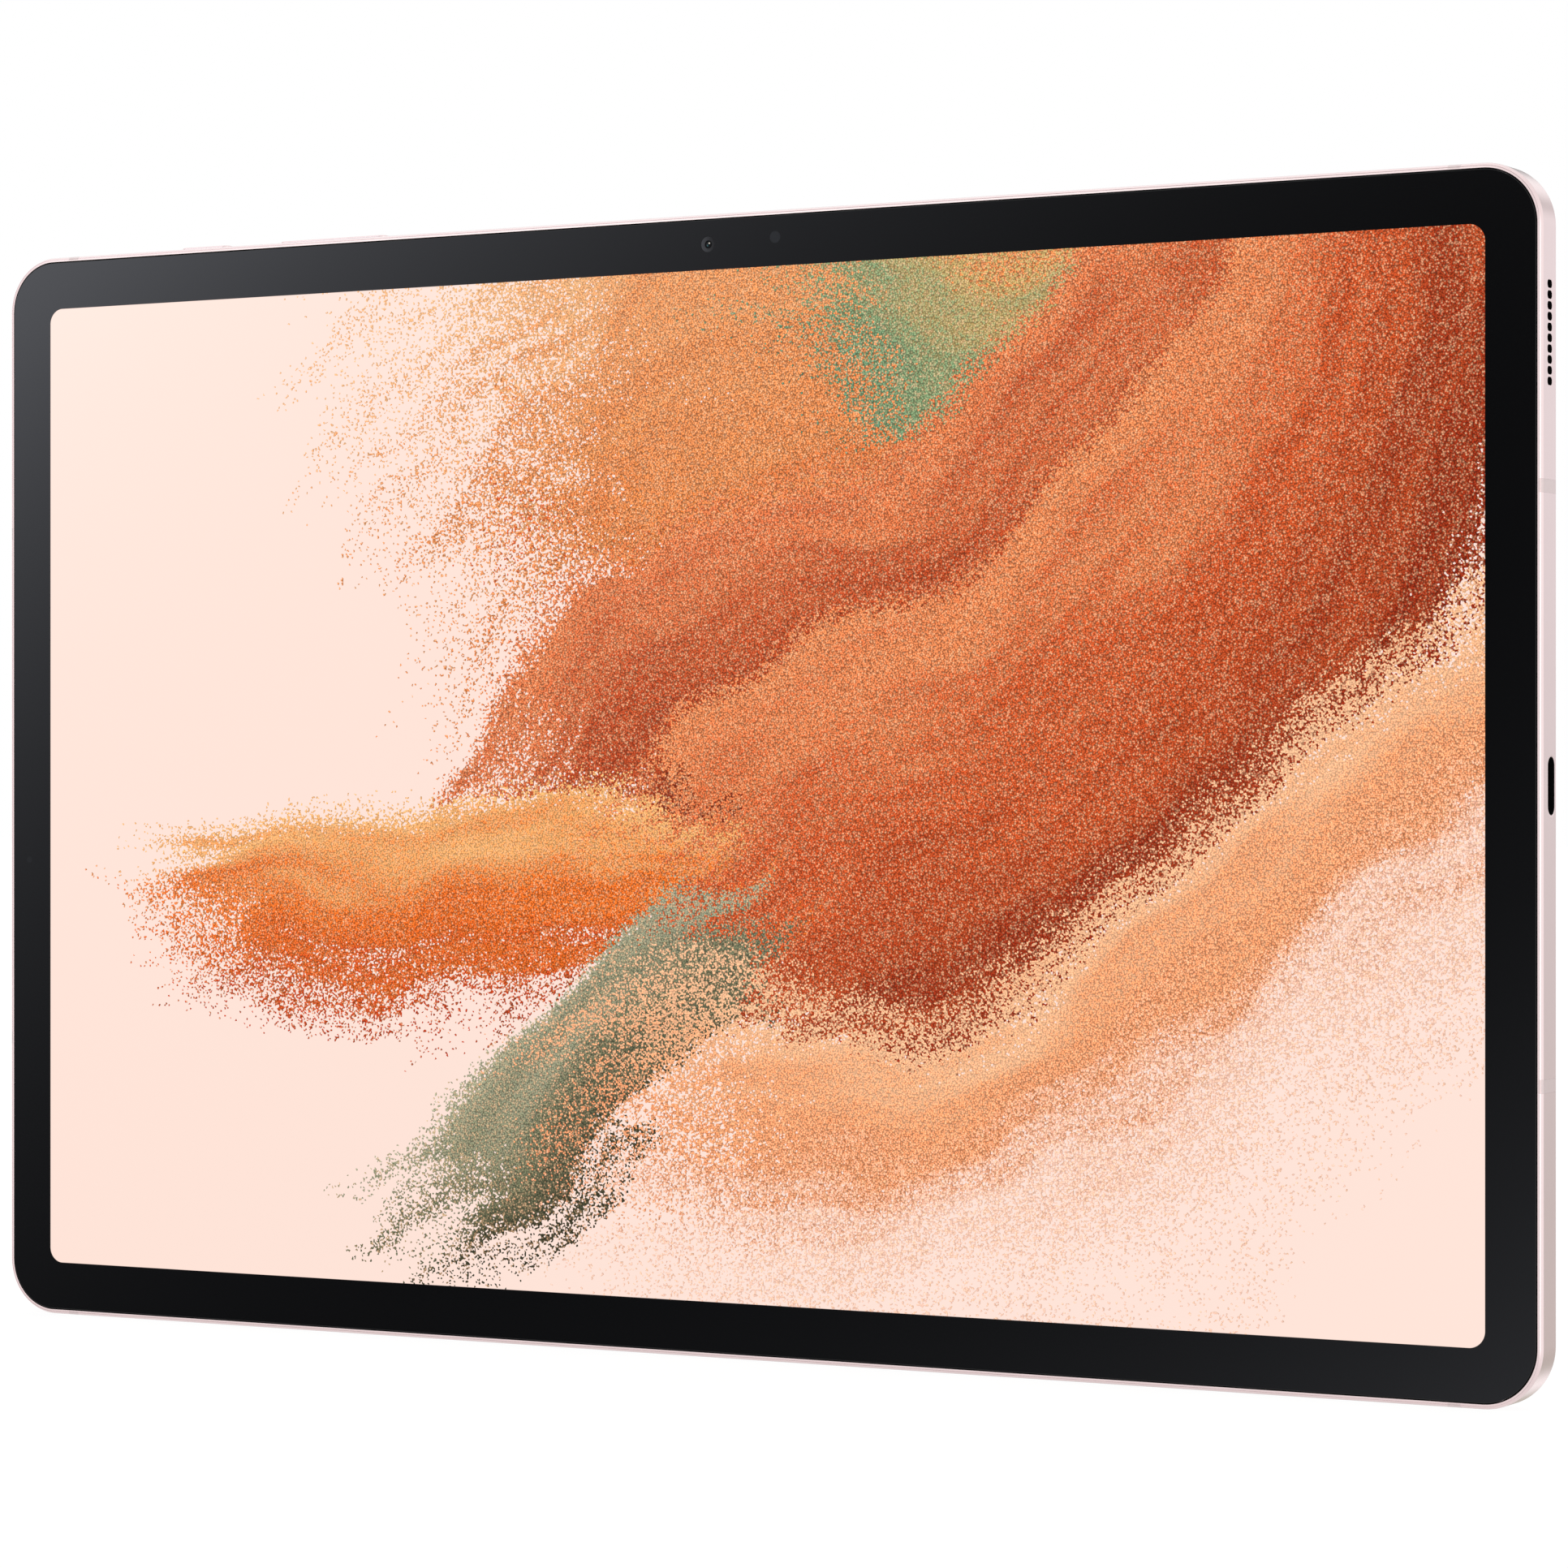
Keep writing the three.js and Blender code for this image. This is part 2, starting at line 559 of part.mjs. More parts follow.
function addRearCamera() {
	const { x, y, ringRadius, glassRadius, proud } = REAR_CAMERA;
	const outside = REAR_Z - proud;
	const bore = glassRadius + 0.1;
	const step = bore - 0.9;
	const glassInside = outside + 0.8;
	const ringInside = FLOOR_Z - 0.1;
	const ring = [
		[ bore, outside ], [ ringRadius - 0.3, outside ], [ ringRadius, outside + 0.3 ],
		[ ringRadius, ringInside ], [ step, ringInside ], [ step, glassInside ],
		[ bore, glassInside ], [ bore, outside ],
	];
	add( 'rear_camera_ring', solid( turned( ring, x, y ) ), 'pinkAluminium' );
	add( 'rear_camera_glass', post( glassRadius, x, y, outside + 0.15, glassInside - 0.05, 24 ), 'lens' );
	const base = block( [ x - 5.5, y - 5.5, ringInside + 0.15 ], [ x + 5.5, y + 5.5, - 0.05 ] );
	const barrel = post( step - 0.15, x, y, glassInside + 0.05, ringInside + 0.3, 20 );
	add( 'rear_camera_module', join( solid( base ), solid( barrel ) ), 'blackPlastic' );
}

function addMicrophones() {
	MICROPHONE_X.forEach( ( x, index ) => {
		add( `microphone_${ index + 1 }`, block( [ x - 1.8, 179.2, - 1 ], [ x + 1.8, 181.9, 0.4 ] ), 'steel' );
	} );
}

function addStylusMagnets() {
	const bottom = FLOOR_Z + LAYER_GAP;
	[ 10, 70 ].forEach( ( x, index ) => {
		const magnet = block( [ x, 166, bottom ], [ x + 40, 172, bottom + 1.2 ] );
		add( `stylus_magnet_${ index + 1 }`, magnet, 'steel' );
	} );
}

// ---------------------------------------------------------------- keys, card tray and dock contacts

// A key is a pill that stands proud of the top edge, on a wider flange that keeps it in.
function keyForm( { middle, length } ) {
	const cap = pillShape( length, KEY_THICKNESS );
	const flange = pillShape( length + 2 * KEY_FLANGE.overhang, KEY_THICKNESS + 1 );
	return join(
		solid( acrossEdge( cap, middle, KEY_MIDDLE_Z, KEY_FLANGE.high - 0.1, BODY_HEIGHT + KEY_PROUD ) ),
		solid( acrossEdge( flange, middle, KEY_MIDDLE_Z, KEY_FLANGE.low, KEY_FLANGE.high ) ),
	);
}

function addSwitch( name, x ) {
	const half = SWITCH.length / 2;
	const low = [ x - half, SWITCH.low, KEY_MIDDLE_Z - 1 ];
	add( name, block( low, [ x + half, SWITCH.high, KEY_MIDDLE_Z + 1 ] ), 'steel' );
}

function addKeys() {
	add( 'power_button', keyForm( POWER_KEY ), 'pinkAluminium' );
	add( 'volume_rocker', keyForm( VOLUME_KEY ), 'pinkAluminium' );
	const reach = VOLUME_KEY.length / 2 - 3;
	addSwitch( 'power_switch', POWER_KEY.middle );
	addSwitch( 'volume_down_switch', VOLUME_KEY.middle - reach );
	addSwitch( 'volume_up_switch', VOLUME_KEY.middle + reach );
	const left = POWER_KEY.middle - POWER_KEY.length / 2;
	const right = VOLUME_KEY.middle + VOLUME_KEY.length / 2;
	add( 'key_flex', block( [ left, 178.55, - 1.3 ], [ right, 178.75, 0.9 ] ), 'film' );
	add( 'key_bracket', block( [ left - 2, 177.95, - 1.5 ], [ right + 2, 178.5, 1.1 ] ), 'steel' );
}

function addCardTray() {
	const { middle, middleZ, faceLength, faceThickness } = CARD_TRAY;
	const faceTop = BODY_HEIGHT - 0.05;
	const half = 6.6;
	const halfSheet = 0.38;
	const outline = pillShape( faceLength, faceThickness );
	const face = solid( acrossEdge( outline, middle, middleZ, 182.3, faceTop ) );
	const low = [ middle - half, 160.5, middleZ - halfSheet ];
	const carrier = solid( block( low, [ middle + half, 182.4, middleZ + halfSheet ] ) );
	const cardWindow = solid( block( [ middle - half + 1, 163, - 3 ], [ middle + half - 1, 178, 3 ] ) );
	const pinHole = new THREE.CylinderGeometry( 0.45, 0.45, 2, 8 ).translate( middle + 5.3, faceTop, middleZ );
	add( 'card_tray', cut( join( face, carrier ), cardWindow, solid( pinHole ) ), 'pinkAluminium' );

	const shell = solid( block( [ middle - 8, 158, - 1.75 ], [ middle + 8, 181.5, - 0.05 ] ) );
	const slot = solid( block( [ middle - 6.9, 159, - 1.4 ], [ middle + 6.9, 183, - 0.2 ] ) );
	add( 'card_reader', cut( shell, slot ), 'steel' );
}

function addDock() {
	const { length, thickness, depth, contacts, pitch } = DOCK;
	const outside = 0.1;
	const outline = pillShape( length - 0.2, thickness - 0.2 );
	let insert = solid( acrossEdge( outline, 0, 0, outside, depth - 0.1 ) );
	for ( let index = 0; index < contacts; index ++ ) {
		const x = ( index - ( contacts - 1 ) / 2 ) * pitch;
		const pocket = new THREE.CylinderGeometry( 0.8, 0.8, 1, 12 ).translate( x, 0.1, 0 );
		const pad = new THREE.CylinderGeometry( 0.7, 0.7, 0.4, 12 ).translate( x, 0.35, 0 );
		insert = cut( insert, solid( pocket ) );
		add( `dock_contact_${ index + 1 }`, pad, 'gold' );
	}
	add( 'dock_connector', insert, 'blackPlastic' );
}

addHousing();
addDisplay();
addBattery();
addBoards();
addScrews();
addBoardFlex();
addUsbPort();
addSpeaker( 'right', 1 );
addSpeaker( 'left', - 1 );
addFrontSensors();
addRearCamera();
addMicrophones();
addStylusMagnets();
addKeys();
addCardTray();
addDock();

// Stood up on the bottom edge. The camera ring stands proud of the rear face, so the whole
// depth is centred on the origin by half of that.
flat.rotation.x = Math.PI / 2;
flat.position.y = - REAR_CAMERA.proud / 2;

const tablet = new THREE.Group();
tablet.add( flat );

export default tablet;
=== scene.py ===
import math
from collections import namedtuple
from functools import partialmethod

import bmesh
import bpy
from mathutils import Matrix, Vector


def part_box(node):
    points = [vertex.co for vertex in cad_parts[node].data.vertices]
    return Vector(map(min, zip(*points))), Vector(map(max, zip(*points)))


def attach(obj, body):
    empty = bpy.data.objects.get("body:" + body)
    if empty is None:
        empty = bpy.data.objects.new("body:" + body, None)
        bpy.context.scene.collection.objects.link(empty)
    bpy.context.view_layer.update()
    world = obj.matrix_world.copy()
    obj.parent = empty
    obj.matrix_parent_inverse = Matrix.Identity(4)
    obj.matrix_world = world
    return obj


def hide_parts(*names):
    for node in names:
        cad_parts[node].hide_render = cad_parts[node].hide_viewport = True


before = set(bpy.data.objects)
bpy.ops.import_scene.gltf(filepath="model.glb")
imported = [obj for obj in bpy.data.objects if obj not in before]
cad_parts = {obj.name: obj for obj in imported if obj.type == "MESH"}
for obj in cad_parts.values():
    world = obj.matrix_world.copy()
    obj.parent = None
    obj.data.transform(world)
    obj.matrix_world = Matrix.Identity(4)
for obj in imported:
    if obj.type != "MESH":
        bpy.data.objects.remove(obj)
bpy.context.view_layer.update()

# A 12.4 inch class tablet computer, standing on its long bottom edge with its screen towards -Y.
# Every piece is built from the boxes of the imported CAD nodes, in the frame they share. Sizes
# are in millimetres, and MM turns them into metres.

MM = 0.001

# ---- shape details

CORNER_RADIUS = 9.4
CHAMFER = (0.4, 0.65)  # width across the front, depth along the side
CHAMFER_BULGE = 0.06
GROOVE = (0.02, 0.04, 0.05)  # slope, width and depth of the fine line inside the chamfer
LEDGE_TILT = 0.035  # how far the ledge beside the glass falls away outwards
REAR_FILLET = (0.85, 0.7)  # inset at the rear face, rise along the side
RIM_DROP = 0.05
WALL = 3.0
REAR_SKIN = 0.7
SCREW_BOSS = (1.8, 0.7)  # outer radius, bore radius
SCREW_COUNT = 5
BOSS_HEIGHTS = (0.05, 0.2, 0.1)  # gap behind the board, root in the skin, floor of the bore
SEAT_INSET = 0.78
SEAT_DEPTH = 0.8
SEAT_EDGE = 0.03
CORNER_STEPS = 24
FILLET_STEPS = 8
BEYOND = 1.0  # how far a cutter starts outside what it cuts
TINY = 0.01

GLASS_GAP = 0.165
GLASS_RADIUS = 8.5
GLASS_EDGE = 0.06
GASKET = (0.79, 0.95, 0.07)  # outer inset, inner inset, drop below the rim
CAMERA_WINDOW_RADIUS = 1.3
COLLAR_GAP = 0.015
COLLAR = (1.2, 0.68, 0.02, 0.16)  # radii of its flat and its eye, their depths in the glass
FRONT_LENS_RADIUS = 0.66
REAR_LENS_RADIUS = 1.9
LENS_SHOULDER = [(0.0, 0.0), (0.02, 0.07), (-0.06, 0.12)]  # steps outwards and inwards
LENS_DOME = (0.07, -0.06, 0.2)  # height, level of its foot, inset
# Painted highlights in the camera lenses' colour: a pale glint and a teal glint.
PAINTED_PALE_GLINT = ((0.17, 0.19), 0.13, 0.05)  # place, radius, blur
PAINTED_TEAL_GLINT = ((-0.14, -0.17), 0.16, 0.09)
RING_HOLE = (0.04, 2)  # gap round the rear camera's ring, depth of its hole
RING_EDGES = [0, 0, 0.35, 0.12, 0, 0]  # rounding of each corner of the ring's section
RING_SEAT = (0.9, 0.05)  # width of the seat below the pane, gap to the pane
PANE_GAP = 0.06  # also the rounding of its edge
PANE_RECESS = [(0.62, 0.0), (0.55, 0.03), (0.0, 0.33)]  # distance outside the eye, depth
EYE_GAP = 0.02

SCREEN_HALF = (133.55, 83.45)
SCREEN_RADIUS = 2.6

KEY_OVERHANG = (1.0, 0.5)  # of the flange, past the ends and the sides of the cap
KEY_FLANGE = 0.8
KEY_EDGE = 0.22
KEY_SPARE = 0.14
KEY_LIP = 0.1
MICROPHONE_HOLE = (0.5, 0.08)  # radius, lip
TRAY_FACE = (14.6, 2.2)
TRAY_SPARE = 0.1
TRAY_LIP = 0.06
TRAY_EDGE = 0.1
TRAY_HEAD = 2.65
TRAY_CARRIER = (6.6, 0.38, 2.5)  # half width, half thickness, distance of its end from the face
TRAY_WINDOW = (1, 2.5, 17.5)  # border at the sides, height of its lower and upper end
TRAY_PIN = (5.3, 0.45, 1.0, 0.05)  # offset, radius, depth and lip of the pin hole

USB_SKIN = 0.2
USB_BACK = 0.4
USB_EDGE = 0.06
USB_MOUTH = (0.05, 0.08)  # width and depth of the slope inside the shell's mouth
USB_SLEEVE = (0.015, 0.1, 0.06, 0.02)  # gap outside, wall, recess at the mouth, gap behind
USB_NOSE = 0.15
USB_CONTACTS = (12, 0.5, 0.12)  # number on each face, pitch, half width
USB_CONTACT_SPAN = (3.2, 0.35)  # both ends, back from the tip of the tongue
USB_CONTACT_RISE = (0.015, 0.02)  # above the tongue, and whole thickness
USB_LIP = (0.3, 0.05)
USB_POCKET = (4.75, 1.8)
USB_POCKET_GAP = 0.1
DOCK_MOUTH = (0.1, 1.0, 0.12)  # gap, depth, lip
DOCK_EDGE = 0.1  # how far the insert's face is sunk, and its rounding
DOCK_WELL = (0.8, 0.62)  # radius, depth
DOCK_DOME = (0.2, 0.45, 0.5)  # rise, width of the rounding, radius of the flat
SLOT = (0.62, 0.95)
SLOT_RADIUS = 0.55
SLOT_LIP = (0.15, 0.03)  # width and depth of the flare round each slot
SLOT_DEPTH = 3.6
SLOT_PITCH = 1.6
SLOT_COUNT = 10
LINER = (0.012, 0.06, 0.06, 0.02)  # gap outside, wall, recess at the mouth, gap behind

ANTENNA_HALF = 1.0
ANTENNA_DEPTH = 0.6
ANTENNA_LINE_HALF = 0.5
ANTENNA_LINE_DEPTH = 0.3
ANTENNA_GAP = 0.008
ANTENNA_LINE_END = 0.5  # how far inside the edge the thin line ends, under the thick part


def cad_box(node):
    """The lowest and highest corner of a CAD node, in millimetres."""
    low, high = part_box(node)
    return low / MM, high / MM


def cad_middle(node):
    return sum(cad_box(node), Vector()) / 2


def halves(node, axes):
    """Half the size of a CAD node along each named axis."""
    low, high = cad_box(node)
    return [(getattr(high, axis) - getattr(low, axis)) / 2 for axis in axes]


def spaced(count, pitch):
    """Evenly spaced offsets either side of 0."""
    return [(index - (count - 1) / 2) * pitch for index in range(count)]


# ---- mesh building

PLANES = {
    "front": lambda u, v, w: (u, w, v),
    "top": lambda u, v, w: (u, v, w),
    "side": lambda u, v, w: (w, v, u),
}


def outline(half_u, half_v, radius, steps):
    """Points round a rounded rectangle."""
    radius = max(0.0, min(radius, half_u, half_v))
    points = []
    for corner, (sign_u, sign_v) in enumerate(((1, 1), (-1, 1), (-1, -1), (1, -1))):
        for step in range(steps + 1):
            angle = (corner + step / steps) * math.pi / 2
            u = sign_u * (half_u - radius) + radius * math.cos(angle)
            v = sign_v * (half_v - radius) + radius * math.sin(angle)
            points.append((u, v))
    return points


def mesh_object(name, bm):
    bmesh.ops.remove_doubles(bm, verts=bm.verts, dist=1e-7)
    bmesh.ops.recalc_face_normals(bm, faces=bm.faces)
    mesh = bpy.data.meshes.new(name)
    bm.to_mesh(mesh)
    bm.free()
    piece = bpy.data.objects.new(name, mesh)
    bpy.context.scene.collection.objects.link(piece)
    return piece


def loft(name, levels, centre=(0, 0), plane="front", steps=8, wrap=False):
    """A closed body through rounded rectangles; a level is (w, half_u, half_v, radius)."""
    bm = bmesh.new()
    point_at = PLANES[plane]
    rings = []
    for w, half_u, half_v, radius in levels:
        ring = []
        for u, v in outline(half_u, half_v, radius, steps):
            ring.append(bm.verts.new(Vector(point_at(centre[0] + u, centre[1] + v, w)) * MM))
        rings.append(ring)
    pairs = list(zip(rings, rings[1:]))
    if wrap:
        pairs.append((rings[-1], rings[0]))
    else:
        bm.faces.new(rings[0])
        bm.faces.new(rings[-1])
    for low, high in pairs:
        for here in range(len(low)):
            after = (here + 1) % len(low)
            bm.faces.new((low[here], low[after], high[after], high[here]))
    return mesh_object(name, bm)


def inset_levels(profile, half_u, half_v, radius):
    """Levels of an outline drawn in by a changing inset; a profile point is (w, inset)."""
    return [(w, half_u - i, half_v - i, radius - i) for w, i in profile]


def stadium(w, half_u, half_v, grow=0.0):
    """A level with round ends."""
    return (w, half_u + grow, half_v + grow, half_v + grow)


def tube_levels(back, front, half_u, half_v, radius, wall):
    """Levels of an open tube with square rims."""
    profile = [(back, 0), (front, 0), (front, wall), (back, wall)]
    return inset_levels(profile, half_u, half_v, radius)


def lathe(name, profile, centre, plane="front", steps=12, wrap=False):
    """A round body; a profile point is (w, radius)."""
    return loft(name, [(w, r, r, r) for w, r in profile], centre, plane, steps, wrap)


def box_piece(name, low, high):
    """A box between any two opposite corners."""
    bm = bmesh.new()
    bmesh.ops.create_cube(bm, size=1)
    low, high = Vector(map(min, low, high)), Vector(map(max, low, high))
    middle, size = (low + high) / 2, high - low
    for vert in bm.verts:
        vert.co = Vector((middle[i] + vert.co[i] * size[i] for i in range(3))) * MM
    return mesh_object(name, bm)


def soften(points, radii, steps=4):
    """Rounds the corners of a profile; radii gives how far each corner is cut back."""
    rounded = []
    last = len(points) - 1
    for index, (point, radius) in enumerate(zip(points, radii)):
        here = Vector(point)
        if radius == 0 or index in (0, last):
            rounded.append(tuple(here))
            continue
        back = here + (Vector(points[index - 1]) - here).normalized() * radius
        on = here + (Vector(points[index + 1]) - here).normalized() * radius
        for step in range(steps + 1):
            t = step / steps
            rounded.append(tuple((1 - t) ** 2 * back + 2 * t * (1 - t) * here + t * t * on))
    return rounded


def closed_soft(points, radii):
    """A closed profile with rounded corners."""
    wrapped = [points[-1]] + points + [points[0]]
    return soften(wrapped, [0] + radii + [0], 5)[1:-1]


def rounded_edge(start, end, radius, steps):
    """A profile along a side from start to end, rounded over into the end face."""
    return soften([(start, 0), (end, 0), (end, 1)], [0, radius, 0], steps)[:-1]


def joined(name, pieces):
    """Several meshes as one, with no boolean."""
    bm = bmesh.new()
    for piece in pieces:
        bm.from_mesh(piece.data)
        discard(piece)
    return mesh_object(name, bm)


def discard(piece):
    mesh = piece.data
    bpy.data.objects.remove(piece)
    bpy.data.meshes.remove(mesh)


def boolean(piece, tool, operation="DIFFERENCE"):
    modifier = piece.modifiers.new("boolean", "BOOLEAN")
    modifier.operation = operation
    modifier.solver = "EXACT"
    modifier.object = tool
    bpy.context.view_layer.update()
    evaluated = piece.evaluated_get(bpy.context.evaluated_depsgraph_get())
    made = bpy.data.meshes.new_from_object(evaluated)
    piece.modifiers.clear()
    before = piece.data
    piece.data = made
    bpy.data.meshes.remove(before)
    discard(tool)
    return piece


def shade(piece, sharp_degrees=28):
    """Smooth shading that keeps flat faces flat and edges crisp."""
    piece.data.shade_smooth()
    piece.data.set_sharp_from_angle(angle=math.radians(sharp_degrees))
    weighted = piece.modifiers.new("weighted_normals", "WEIGHTED_NORMAL")
    weighted.keep_sharp = True
    return piece


def place(piece, finish, body="tablet", node=None, material=None):
    """Gives a piece its finish, or a material of its own, smooth shading and its body, and hides the CAD
    node it replaces.
    """
    piece.data.materials.clear()
    piece.data.materials.append(material or MATERIALS[finish])
    shade(piece)
    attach(piece, body)
    if node:
        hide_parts(node)


# ---- node graphs

class Field:
    """A number that changes over a surface, built up as math nodes."""

    def __init__(self, tree, socket):
        self.tree = tree
        self.socket = socket

    def apply(self, operation, *others):
        return math_node(self.tree, operation, self, *others)

    def __rsub__(self, other):
        return math_node(self.tree, "SUBTRACT", other, self)

    __add__ = partialmethod(apply, "ADD")
    __sub__ = partialmethod(apply, "SUBTRACT")
    __mul__ = partialmethod(apply, "MULTIPLY")
    __truediv__ = partialmethod(apply, "DIVIDE")
    sin = partialmethod(apply, "SINE")
    exp = partialmethod(apply, "EXPONENT")
    abs = partialmethod(apply, "ABSOLUTE")
    root = partialmethod(apply, "SQRT")
    least = partialmethod(apply, "MINIMUM")
    most = partialmethod(apply, "MAXIMUM")
    over = partialmethod(apply, "GREATER_THAN")

    def step(self, low, high):
        """Smoothly from 0 at low to 1 at high."""
        node = self.tree.nodes.new("ShaderNodeMapRange")
        node.interpolation_type = "SMOOTHSTEP"
        for index, value in enumerate((self, low, high)):
            put(self.tree, node.inputs[index], value)
        return Field(self.tree, node.outputs[0])


def math_node(tree, operation, *values):
    node = tree.nodes.new("ShaderNodeMath")
    node.operation = operation
    for index, value in enumerate(values):
        put(tree, node.inputs[index], value)
    return Field(tree, node.outputs[0])


def put(tree, socket, value):
    if isinstance(value, Field):
        value = value.socket
    if isinstance(value, bpy.types.NodeSocket):
        tree.links.new(value, socket)
    elif hasattr(socket.default_value, "__len__") and len(value) < len(socket.default_value):
        socket.default_value = (*value, 1)
    else:
        socket.default_value = value


def set_inputs(tree, node, **values):
    """Sets or links the named inputs; an underscore stands for a space."""
    for key, value in values.items():
        put(tree, node.inputs[key.replace("_", " ")], value)


def add_node(tree, kind, settings=None, **values):
    node = tree.nodes.new(f"ShaderNode{kind}")
    for key, value in (settings or {}).items():
        setattr(node, key, value)
    set_inputs(tree, node, **values)
    return node


def parts(tree, kind, **source):
    """The three numbers of a vector (kind XYZ) or of a colour (kind Color)."""
    return [Field(tree, output) for output in add_node(tree, f"Separate{kind}", **source).outputs]


def mix_colour(tree, factor, first, second):
    node = tree.nodes.new("ShaderNodeMix")
    node.data_type = "RGBA"
    for index, value in ((0, factor), (6, first), (7, second)):
        put(tree, node.inputs[index], value)
    return node.outputs[2]


def linear(red, green, blue):
    """Shader colour from 0 to 255 screen values."""
    shares = (value / 255 for value in (red, green, blue))
    return tuple(share / 12.92 if share <= 0.04045 else ((share + 0.055) / 1.055) ** 2.4
                 for share in shares)


def new_material(name):
    """A material with its node tree, its shader and the place on the object."""
    material = bpy.data.materials.new(name)
    material.use_nodes = True
    tree = material.node_tree
    point = add_node(tree, "TexCoord").outputs["Object"]
    return material, tree, tree.nodes["Principled BSDF"], point


def noise(tree, point, scale, detail=2.0, stretch=None):
    """Noise over a surface; scale is in waves per metre."""
    if stretch:
        point = add_node(tree, "Mapping", Vector=point, Scale=stretch).outputs[0]
    node = add_node(tree, "TexNoise", Vector=point, Scale=scale, Detail=detail)
    return Field(tree, node.outputs["Fac"])


def bumped(tree, shader, height, strength, distance):
    bump = add_node(tree, "Bump", Height=height, Strength=strength, Distance=distance * MM)
    set_inputs(tree, shader, Normal=bump.outputs[0])


# ---- materials

def surface_material(name, dark, light, roughness, metallic=0.0, scale=2000, stretch=None,
                     bump=(0.15, 0.01), coat=0.0, ior=1.5):
    """A finish whose colour and roughness wander between two values over fine noise."""
    material, tree, shader, point = new_material(name)
    grain = noise(tree, point, scale, 3.0, stretch)
    cloud = noise(tree, point, 25, 2.0)
    blend = (grain * 0.7 + cloud * 0.3).step(0.3, 0.7)
    set_inputs(tree, shader, Base_Color=mix_colour(tree, blend, dark, light),
               Roughness=grain * (roughness[1] - roughness[0]) + roughness[0],
               Metallic=metallic, Coat_Weight=coat, IOR=ior)
    bumped(tree, shader, grain, *bump)
    return material


def pink_aluminium():
    """Bead-blasted and anodised: a fine even grain of tiny facets under a satin skin."""
    material, tree, shader, point = new_material("pink_aluminium_finish")
    blast = noise(tree, point, 9000, 2.0)
    cloud = noise(tree, point, 40, 3.0)
    tone = (blast * 0.6 + cloud * 0.4).step(0.3, 0.7)
    colour = mix_colour(tree, tone, (0.785, 0.63, 0.63), (0.82, 0.67, 0.67))
    set_inputs(tree, shader, Base_Color=colour, Roughness=blast * 0.05 + 0.185, Metallic=1.0)
    bumped(tree, shader, blast, 0.12, 0.006)
    return material


def circuit_board():
    """Green solder mask over copper traces and rows of small gold pads."""
    material, tree, shader, point = new_material("circuit_board_finish")
    flat = add_node(tree, "Mapping", Vector=point, Rotation=(math.pi / 2, 0, 0)).outputs[0]
    traces = add_node(tree, "TexBrick", Vector=flat, Scale=380.0, Mortar_Size=0.035,
                      Brick_Width=1.1, Row_Height=0.5)
    lines = Field(tree, traces.outputs["Fac"])
    dots = add_node(tree, "TexVoronoi", Vector=point, Scale=700.0, Randomness=0.25)
    pads = 1 - Field(tree, dots.outputs["Distance"]).step(0.16, 0.2)
    colour = mix_colour(tree, lines, (0.012, 0.075, 0.035), (0.03, 0.15, 0.07))
    colour = mix_colour(tree, pads, colour, (0.75, 0.55, 0.2))
    set_inputs(tree, shader, Base_Color=colour, Metallic=pads, Roughness=0.42 - pads * 0.15)
    bumped(tree, shader, lines + pads, 0.3, 0.02)
    return material


def polyimide_film():
    """Amber film with fine parallel conductors showing through."""
    material, tree, shader, point = new_material("polyimide_film_finish")
    wave = add_node(tree, "TexWave", {"bands_direction": "DIAGONAL"},
                    Vector=point, Scale=500.0)
    lines = Field(tree, wave.outputs["Fac"]).step(0.45, 0.6)
    film = mix_colour(tree, lines, (0.30, 0.13, 0.025), (0.42, 0.22, 0.06))
    set_inputs(tree, shader, Base_Color=film, Roughness=lines * 0.1 + 0.3)
    bumped(tree, shader, lines, 0.2, 0.01)
    return material


def black_mesh():
    """Black mesh: round openings in close rows."""
    material, tree, shader, point = new_material("black_mesh_finish")
    holes = add_node(tree, "TexVoronoi", Vector=point, Scale=3500.0, Randomness=0.0)
    wire = Field(tree, holes.outputs["Distance"]).step(0.25, 0.4)
    black = mix_colour(tree, wire, (0.001, 0.001, 0.001), (0.02, 0.02, 0.021))
    set_inputs(tree, shader, Base_Color=black, Roughness=0.7 - wire * 0.2)
    bumped(tree, shader, wire, 0.5, 0.05)
    return material


